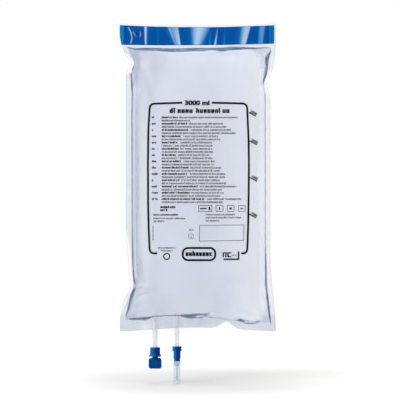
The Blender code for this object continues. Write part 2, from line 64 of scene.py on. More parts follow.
# Sizes repeated from the CAD source
FILM_WIDTH = 0.2205
FILM_HEIGHT = 0.4339
FILM_THICKNESS = 0.0003
BELLY_DEPTH = 0.075
HEADER_HEIGHT = 0.0337
BOTTOM_HEM = 0.0155
HEADER_SAG = 0.0031
SAG_REACH = 0.0613
BOTTOM_RISE = 0.005
CLEARANCE = 0.0003
Side = namedtuple("Side", "belly hem top_flare bottom_flare")
SIDES = {
    -1: Side(0.1013, 0.0078, 0.052, 0.086),
    1: Side(0.1025, 0.0064, 0.09, 0.11),
}
TOP_FLARE_POWER = 2.5
BOTTOM_FLARE_POWER = 1.1
TOP_SHOULDER = 0.105
TOP_SHOULDER_POWER = 2.1
BOTTOM_SHOULDER = 0.08
BOTTOM_SHOULDER_POWER = 1.35
UPPER_FULLNESS = 0.95
PUCKER_DEPTH = 0.0011
PUCKER_LENGTH = 0.037
PUCKER_REACH = 0.02
PUCKER_START = 0.0044
Dent = namedtuple("Dent", "side place depth spread turns")
SIDE_DENTS = (
    Dent(-1, -0.0395, 0.008, 0.0082, 1),
    Dent(1, -0.069, 0.005, 0.0115, -1),
    Dent(-1, -0.354, 0.0068, 0.015, -1),
    Dent(-1, -0.326, 0.0034, 0.03, -1),
)
SIDE_DENT_SHARE = 0.5
BOTTOM_DENT = Dent(0, 0.0405, 0.0093, 0.0115, 1)
WELD_LIFT = 0.0022
WELD_LIFT_PLACE = -0.048
WELD_LIFT_SPREAD = 0.024
WELD_DROP = 0.0036
WELD_DROP_START = 0.01
WELD_DROP_RUN = 0.035
# Valleys in the filled film: x and z of both ends, depth and spread
VALLEYS = (
    (-0.092, -0.04, -0.066, -0.112, 0.005, 0.009),
    (0.094, -0.024, 0.07, -0.1, 0.0045, 0.01),
    (-0.092, -0.351, -0.056, -0.338, 0.0045, 0.009),
    (-0.098, -0.392, -0.064, -0.35, 0.003, 0.009),
    (0.0405, -0.398, 0.03, -0.33, 0.0055, 0.012),
    (0.099, -0.392, 0.074, -0.33, 0.003, 0.01),
)
VALLEY_LIMIT = 0.6
STRAP_TOP = 0.0144
STRAP_BOTTOM = -0.0125
STRAP_TAPER = 0.0085
STRAP_LEFT = -0.11
STRAP_RIGHT = 0.1078
STRAP_THICKNESS = 0.0004
STRAP_WELD = 0.0075
STRAP_RUN_OUT = 0.015
# Waves of the strap: place, height, spread and slant
STRAP_BULGES = (
    (-0.0745, 0.0009, 0.006, 0.02),
    (-0.0385, 0.0018, 0.01, -0.36),
    (-0.009, 0.0026, 0.014, 0.05),
    (0.0225, 0.0008, 0.006, 0.2),
    (0.0578, 0.0023, 0.012, 0.1),
    (0.0828, 0.0014, 0.009, 0.05),
)
HEADER_ABOVE_STRAP = 0.0025
PORT_X = -0.0601
PORT_TUBE_DIAMETER = 0.0081
PORT_TUBE_WALL = 0.0012
CONNECTOR_X = -0.0293
CONNECTOR_TUBE_DIAMETER = 0.0071
CONNECTOR_TUBE_WALL = 0.001
PORT_TUBE_SHOWN = 0.0255
CONNECTOR_TUBE_SHOWN = 0.026
TUBE_SEAT = 0.0065
TUBE_REACH = 0.004
COLLAR_REACH = 0.0075
SLEEVE_DIAMETER = 0.0143
SLEEVE_HEIGHT = 0.0105
FLANGE_DIAMETER = 0.0181
FLANGE_HEIGHT = 0.0021
NECK_DIAMETER = 0.0079
NECK_HEIGHT = 0.0024
PADDLE_WIDTH = 0.0183
PADDLE_HEIGHT = 0.0147
PADDLE_THICKNESS = 0.0042
PADDLE_CORNER = 0.003
PADDLE_RIM = 0.0018
PADDLE_DISH = 0.0009
HEAD_DIAMETER = 0.0133
HEAD_HEIGHT = 0.0028
GROOVE_DIAMETER = 0.0117
GROOVE_HEIGHT = 0.0014
RIB_DIAMETER = 0.0146
RIB_HEIGHT = 0.0014
RIB_SLOPE = 0.0012
BARREL_DIAMETER = 0.0102
WAIST_DIAMETER = 0.0086
WAIST_HEIGHT = 0.0024
WAIST_SLOPE = 0.0008
LIP_DIAMETER = 0.0093
LIP_HEIGHT = 0.0014
CONNECTOR_HEIGHT = 0.0203
CONNECTOR_WEB = 0.0012
SHANK_DIAMETER = 0.0056
SHANK_LENGTH = 0.006
NOSE_LENGTH = 0.007
STEM_DIAMETER = 0.0032
STEM_LENGTH = 0.0145
TIP_DIAMETER = 0.0041
TIP_LENGTH = 0.0059
TIP_END_DIAMETER = 0.002
STEM_BORE = 0.001
CAP_LENGTH = 0.0316
CAP_MOUTH_DIAMETER = 0.0113
CAP_END_DIAMETER = 0.0104
CAP_WALL = 0.001
CAP_END_WALL = 0.0015
EDGE_ROUND = 0.0005

FILM_TOP = STRAP_TOP + HEADER_ABOVE_STRAP
FILM_BOTTOM = FILM_TOP - FILM_HEIGHT
TOP_WELD = FILM_TOP - HEADER_HEIGHT
BOTTOM_WELD = FILM_BOTTOM + BOTTOM_HEM
WELD_HALF = (SIDES[-1].belly - SIDES[-1].hem + SIDES[1].belly - SIDES[1].hem) / 2

# Small wrinkles that only the scene has: x and z of both ends, depth and spread
WRINKLES = (
    (-0.094, -0.03, -0.07, -0.038, 0.0016, 0.0035),
    (-0.092, -0.036, -0.076, -0.06, 0.0014, 0.003),
    (-0.09, -0.044, -0.078, -0.09, 0.0016, 0.004),
    (0.093, -0.034, 0.084, -0.058, 0.0013, 0.0032),
    (0.091, -0.066, 0.078, -0.078, 0.0014, 0.0036),
    (-0.089, -0.346, -0.066, -0.352, 0.0014, 0.0026),
    (-0.09, -0.353, -0.07, -0.36, 0.0014, 0.0026),
    (-0.092, -0.36, -0.078, -0.37, 0.0013, 0.0026),
    (-0.096, -0.384, -0.078, -0.382, 0.001, 0.0024),
    (-0.092, -0.394, -0.06, -0.388, 0.001, 0.0026),
    (0.014, -0.396, 0.004, -0.38, 0.001, 0.003),
    (0.058, -0.396, 0.07, -0.384, 0.0012, 0.0032),
    (0.086, -0.394, 0.096, -0.378, 0.001, 0.0026),
)
RIPPLE_DEPTH = 0.00022  # fine unevenness of the filled film beside its welds
RIPPLE_REACH = 0.013
# How fast each wave of the ripple runs with x, z and facing, and where it starts
RIPPLES = ((430, 210, 1, 0), (760, -340, 2, 0), (90, 310, 0, 0), (1050, 620, 0, 1.3))
SMALL_RISE = 0.2  # limits of wrinkles and ripples, as shares of the film's depth
SMALL_DROP = 0.25
FRONT_GUESS = -0.03  # depth at which the search for the film's face starts

# Steps of the fine grids, and where they change
FINE_STEP = 0.0006
HEM_STEP = 0.0015
BELLY_STEP = 0.0028
ROW_STEP = 0.0026
FOLD_STEP = 0.0012
UPPER_FOLDS = -0.095
LOWER_FOLDS = -0.330
WELD_BAND = 0.013
TUBE_BAND = 0.0075

COLLAR_TURN = math.radians(40.0)  # round the tube to where the collar leaves it straight
COLLAR_FADE = 0.004
COLLAR_GAP = 0.8 * CLEARANCE  # between a tube and the middle of its collar
CHANNEL_REACH = 0.020  # from the bottom weld up to where the collars have ended

Port = namedtuple("Port", "name x diameter wall shown")
PORTS = (
    Port("spike_port_tube", PORT_X, PORT_TUBE_DIAMETER, PORT_TUBE_WALL, PORT_TUBE_SHOWN),
    Port(
        "connector_tube", CONNECTOR_X, CONNECTOR_TUBE_DIAMETER, CONNECTOR_TUBE_WALL, CONNECTOR_TUBE_SHOWN
    ),
)


def smooth(share):
    """Ease from 0 to 1."""
    share = np.clip(share, 0.0, 1.0)
    return share * share * (3.0 - 2.0 * share)


def hump(distance, spread):
    """Rounded bump of height 1."""
    return np.exp(-((distance / spread) ** 2))


def mix(low, high, share):
    return low + (high - low) * share


def from_line(x, z, x0, z0, x1, z1):
    """How far along a line places are, as a share, and their distance from it."""
    run_x, run_z = x1 - x0, z1 - z0
    along = np.clip(((x - x0) * run_x + (z - z0) * run_z) / (run_x**2 + run_z**2), 0.0, 1.0)
    return along, np.hypot(x - x0 - run_x * along, z - z0 - run_z * along)


# The bag's surface, as the CAD source shapes it, for arrays of places


def out_of_plane(hem, squeeze):
    shown = np.maximum(hem - squeeze, 0.0)
    return np.sqrt(np.maximum(hem * hem - shown * shown, 0.0))


def side_dent(side, z):
    """Depth of the dents, and how far they turn the hem out of the weld plane."""
    depth = turn = np.zeros_like(z)
    for dent in SIDE_DENTS:
        if dent.side == side:
            here = dent.depth * hump(z - dent.place, dent.spread)
            depth = depth + here
            turn = turn + dent.turns * out_of_plane(SIDES[side].hem, here * (1.0 - SIDE_DENT_SHARE))
    return depth, turn


def side_edge(side, z):
    shape = SIDES[side]
    above = 1.0 - smooth((FILM_TOP - z) / shape.top_flare) ** TOP_FLARE_POWER
    below = smooth(1.0 - (z - FILM_BOTTOM) / shape.bottom_flare) ** BOTTOM_FLARE_POWER
    return mix(shape.belly, FILM_WIDTH / 2, np.maximum(above, below))


def side_weld(side, z):
    return side_edge(side, z) - SIDES[side].hem - SIDE_DENT_SHARE * side_dent(side, z)[0]


def across(x):
    return 1.0 - np.minimum(np.abs(2.0 * x / FILM_WIDTH), 1.0) ** 2


def bottom_rise(x):
    return BOTTOM_RISE * across(x) ** 2


def weld_shift(x):
    lift = WELD_LIFT * hump(x - WELD_LIFT_PLACE, WELD_LIFT_SPREAD)
    return lift - WELD_DROP * smooth((x - WELD_DROP_START) / WELD_DROP_RUN)


def shifted(x, z):
    """Height of a place whose height on the flat sheet is z."""
    fade_down = smooth(1.0 - (FILM_TOP - z) / SAG_REACH)
    fade_up = smooth((BOTTOM_WELD + BOTTOM_SHOULDER - z) / BOTTOM_SHOULDER)
    return z - HEADER_SAG * across(x) * fade_down + (bottom_rise(x) + weld_shift(x)) * fade_up


def weld_height(x):
    """Height of the bottom weld."""
    return float(shifted(np.array(x), np.array(BOTTOM_WELD)))


def fullness(z):
    from_top = np.clip((TOP_WELD - z) / TOP_SHOULDER, 0.0, 1.0)
    from_bottom = np.clip((z - BOTTOM_WELD) / BOTTOM_SHOULDER, 0.0, 1.0)
    top = 1.0 - (1.0 - from_top) ** TOP_SHOULDER_POWER
    bottom = (1.0 - (1.0 - from_bottom) ** 2) ** (1.0 / BOTTOM_SHOULDER_POWER)
    growth = mix(1.0, UPPER_FULLNESS, smooth((z - BOTTOM_WELD) / (TOP_WELD - BOTTOM_WELD)))
    return BELLY_DEPTH / 2 * top * bottom * growth


def sunk_by(valleys, x, z):
    total = np.zeros_like(x)
    for x0, z0, x1, z1, depth, spread in valleys:
        along, gap = from_line(x, z, x0, z0, x1, z1)
        total = total + depth * (1.0 - smooth(along)) * hump(gap, spread)
    return total


def ripple(x, z, from_weld, facing):
    """Fine unevenness beside the welds, the same at every run."""
    waves = sum(np.sin(in_x * x + in_z * z + turn * facing + start) for in_x, in_z, turn, start in RIPPLES)
    return RIPPLE_DEPTH * waves * np.exp(-from_weld / RIPPLE_REACH)


def sheet_depth(s, x, z, facing):
    """Distance of a sheet from the weld plane. s runs from -1 to 1 between the side welds."""
    half = (side_weld(-1, z) + side_weld(1, z)) / 2
    rise = np.maximum(fullness(z), 1e-6)
    radius = (half**2 + rise**2) / (2.0 * rise)
    s = np.clip(s, -1.0, 1.0)
    arc = np.maximum(np.sqrt(radius**2 - (s * half) ** 2) - (radius - rise), 0.0)
    from_top = np.maximum(np.minimum(TOP_WELD - z, z - BOTTOM_WELD), 0.0)
    pucker = np.sin(2.0 * math.pi * x / PUCKER_LENGTH + facing)
    pucker = pucker * PUCKER_DEPTH * np.exp(-from_top / PUCKER_REACH) * smooth(arc / PUCKER_START)
    sunk = np.minimum(sunk_by(VALLEYS, x, z), VALLEY_LIMIT * arc)
    from_weld = np.minimum(from_top, (1.0 - np.abs(s)) * half)
    small = sunk_by(WRINKLES, x, z) + ripple(x, z, from_weld, facing)
    return arc - sunk + pucker - np.clip(small, -SMALL_RISE * arc, SMALL_DROP * arc)


def sheet_x(s, z):
    return mix(-side_weld(-1, z), side_weld(1, z), (s + 1.0) / 2.0)


def bottom_edge(x):
    """Depth and height of the bottom edge."""
    dent = BOTTOM_DENT.depth * hump(x - BOTTOM_DENT.place, BOTTOM_DENT.spread)
    turn = BOTTOM_DENT.turns * out_of_plane(BOTTOM_HEM + weld_shift(x), dent)
    return turn, FILM_BOTTOM + bottom_rise(x) + dent


def bottom_edge_height(x):
    return float(bottom_edge(np.array(x))[1])


def front_depth(x, z):
    """Depth of the front sheet's middle at places in the frame."""
    flat = np.array(z, float)
    for _ in range(6):
        flat = flat + z - shifted(x, flat)
    left = side_weld(-1, flat)
    s = 2.0 * (x + left) / (left + side_weld(1, flat)) - 1.0
    return sheet_depth(s, x, flat, -1)


def pixel_at(y):
    """Metres across one pixel at depth y."""
    return PIXEL * (y - CAMERA_Y) / -CAMERA_Y


def pixels_of(points):
    """Pixels at which the camera sees places in the frame."""
    x, y, z = np.moveaxis(points, -1, 0)
    return PHOTO_MIDDLE + (x - CAMERA_X) / pixel_at(y), PHOTO_MIDDLE - (z - CAMERA_Z) / pixel_at(y)


def on_film(points, lift):
    """Points of the front film's outer face that the photograph shows at these pixels."""
    points = np.array(points, float)
    y = np.full(len(points), FRONT_GUESS)
    for _ in range(5):
        x = CAMERA_X + (points[:, 0] - PHOTO_MIDDLE) * pixel_at(y)
        z = CAMERA_Z + (PHOTO_MIDDLE - points[:, 1]) * pixel_at(y)
        y = -(front_depth(x, z) + CLEARANCE / 2 + FILM_THICKNESS + lift)
    return np.column_stack((x, y, z))


# Meshes


def graded(zones):
    """Stations along one direction from zones of start, end and step."""
    out = []
    for start, end, step in zones:
        count = max(int(round(abs(end - start) / step)), 1)
        out += [mix(start, end, i / count) for i in range(count)]
    return np.array(out + [zones[-1][1]])


def columns():
    inner = WELD_HALF - WELD_BAND
    zones = [(-WELD_HALF, -inner, FINE_STEP)]
    low = -inner
    left, right = (float(side_weld(side, np.array(FILM_BOTTOM))) for side in (-1, 1))
    for port in PORTS:
        place = WELD_HALF * (2.0 * (port.x + left) / (left + right) - 1.0)
        zones.append((low, place - TUBE_BAND, BELLY_STEP))
        zones.append((place - TUBE_BAND, place + TUBE_BAND, FINE_STEP))
        low = place + TUBE_BAND
    zones += [(low, inner, BELLY_STEP), (inner, WELD_HALF, FINE_STEP)]
    return graded(zones) / WELD_HALF


def header_rows():
    return graded([(FILM_TOP, TOP_WELD, HEM_STEP)])[:-1]


def rows():
    ends = (TOP_WELD, TOP_WELD - WELD_BAND, UPPER_FOLDS, LOWER_FOLDS, BOTTOM_WELD + WELD_BAND, BOTTOM_WELD)
    return graded(list(zip(ends, ends[1:], (FINE_STEP, FOLD_STEP, ROW_STEP, FOLD_STEP, FINE_STEP))))


def sheet_points(zs, s, facing):
    s, z = np.meshgrid(s, zs)
    x = sheet_x(s, z)
    inside = (z < TOP_WELD) & (z > BOTTOM_WELD)
    depth = np.where(inside, sheet_depth(s, x, z, facing), 0.0)
    return np.stack((x, facing * depth, shifted(x, z)), axis=-1)


def with_hems(points, zs):
    """Add the side hems to rows of sheet points."""
    sides = []
    for side, inner in ((-1, points[:, 0]), (1, points[:, -1])):
        depth, turn = side_dent(side, zs)
        x = side * (side_edge(side, zs) - depth)
        edge = np.stack((x, turn, shifted(x, zs)), axis=-1)
        count = int(round(SIDES[side].hem / HEM_STEP))
        sides.append([mix(edge, inner, i / count) for i in range(count)])
    left, right = np.stack(sides[0], axis=1), np.stack(sides[1][::-1], axis=1)
    return np.concatenate((left, points, right), axis=1)


def channel(points, facing):
    """Swell the bottom hem over each tube, on the sheet's own side."""
    out = points.copy()
    cos, sin = math.cos(COLLAR_TURN), math.sin(COLLAR_TURN)
    for port in PORTS:
        radius = port.diameter / 2 + COLLAR_GAP
        reach = np.abs(out[..., 0] - port.x)
        round_part = np.sqrt(np.maximum(radius**2 - reach**2, 0.0))
        straight = (radius / cos - reach) * cos / sin
        profile = np.where(reach < radius * cos, round_part, np.maximum(straight, 0.0))
        top = weld_height(port.x) + COLLAR_REACH
        fade = 1.0 - smooth((out[..., 2] - top) / COLLAR_FADE)
        out[..., 1] = facing * np.maximum(np.abs(out[..., 1]), profile * fade)
    return out


def film_points(facing):
    """Grid of the middle of one sheet: header, filled part and bottom hem."""
    zs = np.concatenate((header_rows(), rows()))
    body = with_hems(sheet_points(zs, columns(), facing), zs)
    last = body[-1]
    turn, low = bottom_edge(last[:, 0])
    edge = np.stack((last[:, 0], turn, low), axis=-1)
    count = int(round(BOTTOM_HEM / HEM_STEP)) * 2
    hem = np.stack([mix(last, edge, (i + 1) / count) for i in range(count)], axis=0)
    whole = np.concatenate((body, hem), axis=0)
    near = whole[..., 2] < BOTTOM_WELD + CHANNEL_REACH
    return np.where(near[..., None], channel(whole, facing), whole)


def grid_normals(points, facing):
    normal = np.cross(np.gradient(points, axis=0), np.gradient(points, axis=1))
    normal /= np.maximum(np.linalg.norm(normal, axis=-1, keepdims=True), 1e-12)
    return normal * np.sign(np.sum(normal[..., 1]) * facing)


def grid_faces(height, width, start, flip):
    index = start + np.arange(height * width).reshape(height, width)
    corners = (index[:-1, :-1], index[1:, :-1], index[1:, 1:], index[:-1, 1:])
    faces = np.stack(corners, axis=-1).reshape(-1, 4)
    return faces[:, ::-1] if flip else faces


def shell_mesh(name, outer, inner, facing):
    """Closed body between two grids of points, the outer one further from the weld plane."""
    height, width = outer.shape[:2]
    count = height * width
    verts = np.concatenate((outer.reshape(-1, 3), inner.reshape(-1, 3)))
    flip = facing > 0
    index = np.arange(count).reshape(height, width)
    rim = np.concatenate((index[0], index[1:, -1], index[-1, -2::-1], index[-2:0:-1, 0]))
    following = np.roll(rim, -1)
    walls = np.stack((rim, following, following + count, rim + count), axis=-1)
    faces = [grid_faces(height, width, 0, flip), grid_faces(height, width, count, not flip)]
    return mesh_of(name, verts, np.concatenate(faces + [walls[:, ::-1] if flip else walls]))


def mesh_of(name, verts, faces):
    mesh = bpy.data.meshes.new(name)
    mesh.from_pydata([tuple(v) for v in verts], [], [tuple(int(i) for i in f) for f in faces])
    mesh.update()
    mesh.shade_smooth()
    return mesh


def new_object(name, data):
    thing = bpy.data.objects.new(name, data)
    bpy.context.scene.collection.objects.link(thing)
    return thing


def new_piece(name, mesh, look, body="bag", replaces=None):
    thing = new_object(name, mesh)
    thing.data.materials.append(look)
    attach(thing, body)
    if replaces:
        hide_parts(replaces)
    return thing


def paint(mesh, **layers):
    """Write one number per vertex into each layer. One face's numbers serve both faces of a shell."""
    for name, values in layers.items():
        values = np.asarray(values, np.float32).ravel()
        layer = mesh.attributes.new(name, "FLOAT", "POINT")
        layer.data.foreach_set("value", np.tile(values, len(mesh.vertices) // len(values)))


# Materials

FILM_TINT = (0.400, 0.478, 0.690)
FILM_TINT_PALE = (0.470, 0.548, 0.765)
# Colour of painted dark lines: where the filling refracts at its edges, and the painted shade strokes
PAINTED_DARK_COLOR = (0.072, 0.160, 0.268)


class Nodes:
    """Node tree of one material or world, built by calls."""

    def __init__(self, tree):
        self.tree = tree

    def node(self, kind, **inputs):
        """New node, with inputs set or linked by name."""
        node = self.tree.nodes.new("ShaderNode" + kind)
        for name, value in inputs.items():
            self.put(node.inputs[name.replace("_", " ")], value)
        return node

    def put(self, socket, value):
        if isinstance(value, bpy.types.NodeSocket):
            self.tree.links.new(value, socket)
        else:
            socket.default_value = value

    def between(self, value, low, high, start=0.0, end=1.0):
        """Map start..end of a value to low..high."""
        node = self.node("MapRange", Value=value, From_Min=start, From_Max=end, To_Min=low, To_Max=high)
        return node.outputs["Result"]

    def math(self, operation, first, second):
        node = self.node("Math")
        node.operation = operation
        self.put(node.inputs[0], first)
        self.put(node.inputs[1], second)
        return node.outputs[0]

    def blend(self, share, first, second):
        """Mix two colours."""
        node = self.node("Mix")
        node.data_type = "RGBA"
        self.put(node.inputs["Factor"], share)
        for socket, color in ((node.inputs[6], first), (node.inputs[7], second)):
            self.put(socket, (*color, 1.0) if isinstance(color, tuple) else color)
        return node.outputs[2]

    def direct_rays(self):
        """1 for camera, glossy and transmission rays."""
        rays = self.node("LightPath").outputs
        direct = self.math("MAXIMUM", rays["Is Camera Ray"], rays["Is Glossy Ray"])
        return self.math("MAXIMUM", direct, rays["Is Transmission Ray"])


class Look(Nodes):
    """Material around one principled shader."""

    def __init__(self, name, color, roughness, specular=0.5):
        self.material = bpy.data.materials.new(name)
        self.material.use_nodes = True
        super().__init__(self.material.node_tree)
        self.shader = self.tree.nodes["Principled BSDF"]
        self.feed(Base_Color=(*color, 1.0), Roughness=roughness, Specular_IOR_Level=specular)
        self.places = self.node("TexCoord").outputs["Object"]

    def feed(self, **inputs):
        """Link or set inputs of the shader."""
        for name, value in inputs.items():
            self.put(self.shader.inputs[name.replace("_", " ")], value)

    def noise(self, scale, detail=3.0, stretch=(1.0, 1.0, 1.0)):
        places = self.node("Mapping", Vector=self.places, Scale=stretch).outputs["Vector"]
        return self.node("TexNoise", Vector=places, Scale=scale, Detail=detail).outputs["Fac"]

    def painted(self, name):
        node = self.node("Attribute")
        node.attribute_name = name
        return node.outputs["Fac"]

    def bump(self, height, distance, strength):
        node = self.node("Bump", Height=height, Distance=distance, Strength=strength)
        self.feed(Normal=node.outputs["Normal"])
        return self.material


def film_look():
    look = Look("clear_film", FILM_TINT, 0.2)
    haze, glint, dark = (look.painted(name) for name in ("haze", "glint", "edge"))
    cloud = look.between(look.noise(60.0, 4.0), 0.85, 1.15)
    fine = look.between(look.noise(420.0, 2.0), 0.92, 1.08)
    alpha = look.math("MULTIPLY", haze, look.math("MULTIPLY", cloud, fine))
    alpha = look.math("MAXIMUM", alpha, look.math("MULTIPLY", glint, 0.55))
    alpha = look.math("MAXIMUM", alpha, look.math("MULTIPLY", dark, 0.62))
    color = look.blend(look.between(look.noise(90.0), 0.0, 1.0), FILM_TINT, FILM_TINT_PALE)
    # Painted glints and painted dark refraction lines over the film's own colour
    color = look.blend(glint, color, (0.95, 0.96, 0.98))
    color = look.blend(dark, color, PAINTED_DARK_COLOR)
    look.feed(Base_Color=color, Alpha=alpha, Roughness=look.between(haze, 0.30, 0.16, 0.0, 0.3))
    return look.bump(look.noise(140.0, 3.0, (1.0, 1.0, 0.6)), 0.0004, 0.35)


def solution_look():
    look = Look("clear_solution", (0.62, 0.69, 0.83), 0.25, 0.3)
    cloud = look.between(look.noise(24.0, 3.0, (1.0, 1.0, 0.45)), -0.07, 0.07)
    tone = look.math("ADD", look.painted("tone"), cloud)
    # Shaded and lit colours of the filling, picked by the painted shading
    body = look.blend(look.between(tone, 0.0, 1.0), (0.352, 0.408, 0.575), (0.79, 0.865, 1.0))
    speck = look.between(look.noise(520.0, 2.0), 0.82, 1.15, 0.3, 0.7)
    edge = look.math("MULTIPLY", look.painted("edge"), speck)
    glint = look.painted("glint")
    # Painted glints and painted dark refraction lines over the painted shading
    color = look.blend(glint, body, (0.93, 0.95, 0.98))
    color = look.blend(look.between(edge, 0.0, 1.0), color, PAINTED_DARK_COLOR)
    alpha = look.math("MAXIMUM", look.between(edge, 0.0, 0.90), look.between(glint, 0.0, 0.72))
    alpha = look.math("MAXIMUM", alpha, look.between(tone, 0.42, 0.15, 0.9, 1.9))
    look.feed(Base_Color=color, Alpha=alpha)
    return look.material


def strap_look():
    look = Look("blue_strap", (0.0, 0.087, 0.36), 0.2, 0.05)
    cloud = look.between(look.noise(34.0, 3.0, (1.0, 1.0, 0.3)), 0.0, 0.16)
    color = look.blend(cloud, (0.0, 0.080, 0.355), (0.001, 0.14, 0.47))
    # Painted soft light, highlights and shade laid over the strap's own blue
    for name, over in (
        ("soft", (0.004, 0.225, 0.58)),
        ("sheen", (0.49, 0.70, 0.95)),
        ("shade", (0.0, 0.035, 0.19)),
    ):
        color = look.blend(look.painted(name), color, over)
    look.feed(Base_Color=color, Roughness=look.between(look.noise(160.0), 0.14, 0.28))
    return look.bump(look.noise(240.0, 3.0, (0.5, 1.0, 1.6)), 0.0003, 0.25)


def ink_look(name, color):
    look = Look(name, color, 0.6, 0.06)
    worn = look.between(look.noise(700.0), 0.0, 0.30, 0.50, 0.85)
    pale = tuple(min(part * 1.6 + 0.02, 1.0) for part in color)
    look.feed(Base_Color=look.blend(worn, color, pale))
    return look.bump(look.noise(900.0), 0.00005, 0.3)


def blue_plastic_look():
    look = Look("blue_plastic", (0.0, 0.075, 0.31), 0.34, 0.04)
    cloud = look.between(look.noise(230.0, 4.0), -0.06, 0.06, 0.3, 0.7)
    # Painted shading, with a little random tone, picks between a shaded and a lit blue
    tone = look.between(look.math("ADD", look.painted("tone"), cloud), 0.0, 1.0)
    look.feed(
        Base_Color=look.blend(tone, (0.0003, 0.037, 0.20), (0.001, 0.225, 0.68)),
        Roughness=look.between(look.noise(900.0, 2.0), 0.28, 0.42),
    )
    return look.bump(look.noise(1400.0, 2.0), 0.00008, 0.35)


def tube_look():
    look = Look("port_tube", (0.90, 0.92, 0.97), 0.22, 0.4)
    along = look.between(look.noise(300.0, 3.0, (1.0, 1.0, 0.12)), 0.85, 1.15, 0.3, 0.7)
    look.feed(
        Base_Color=look.blend(look.noise(120.0), (0.84, 0.88, 0.98), (0.92, 0.95, 1.0)),
        Alpha=look.math("MULTIPLY", look.painted("haze"), along),
    )
    return look.bump(look.noise(600.0, 2.0, (1.0, 1.0, 0.2)), 0.0001, 0.3)


def clear_plastic_look(name, color):
    look = Look(name, color, 0.12, 0.6)
    cloud = look.between(look.noise(260.0, 3.0, (1.0, 1.0, 0.3)), 0.82, 1.18, 0.3, 0.7)
    alpha = look.math("MULTIPLY", look.painted("haze"), cloud)
    look.feed(Alpha=alpha, Roughness=look.between(look.noise(500.0), 0.08, 0.2))
    return look.bump(look.noise(350.0, 2.0, (1.0, 1.0, 0.4)), 0.0001, 0.3)
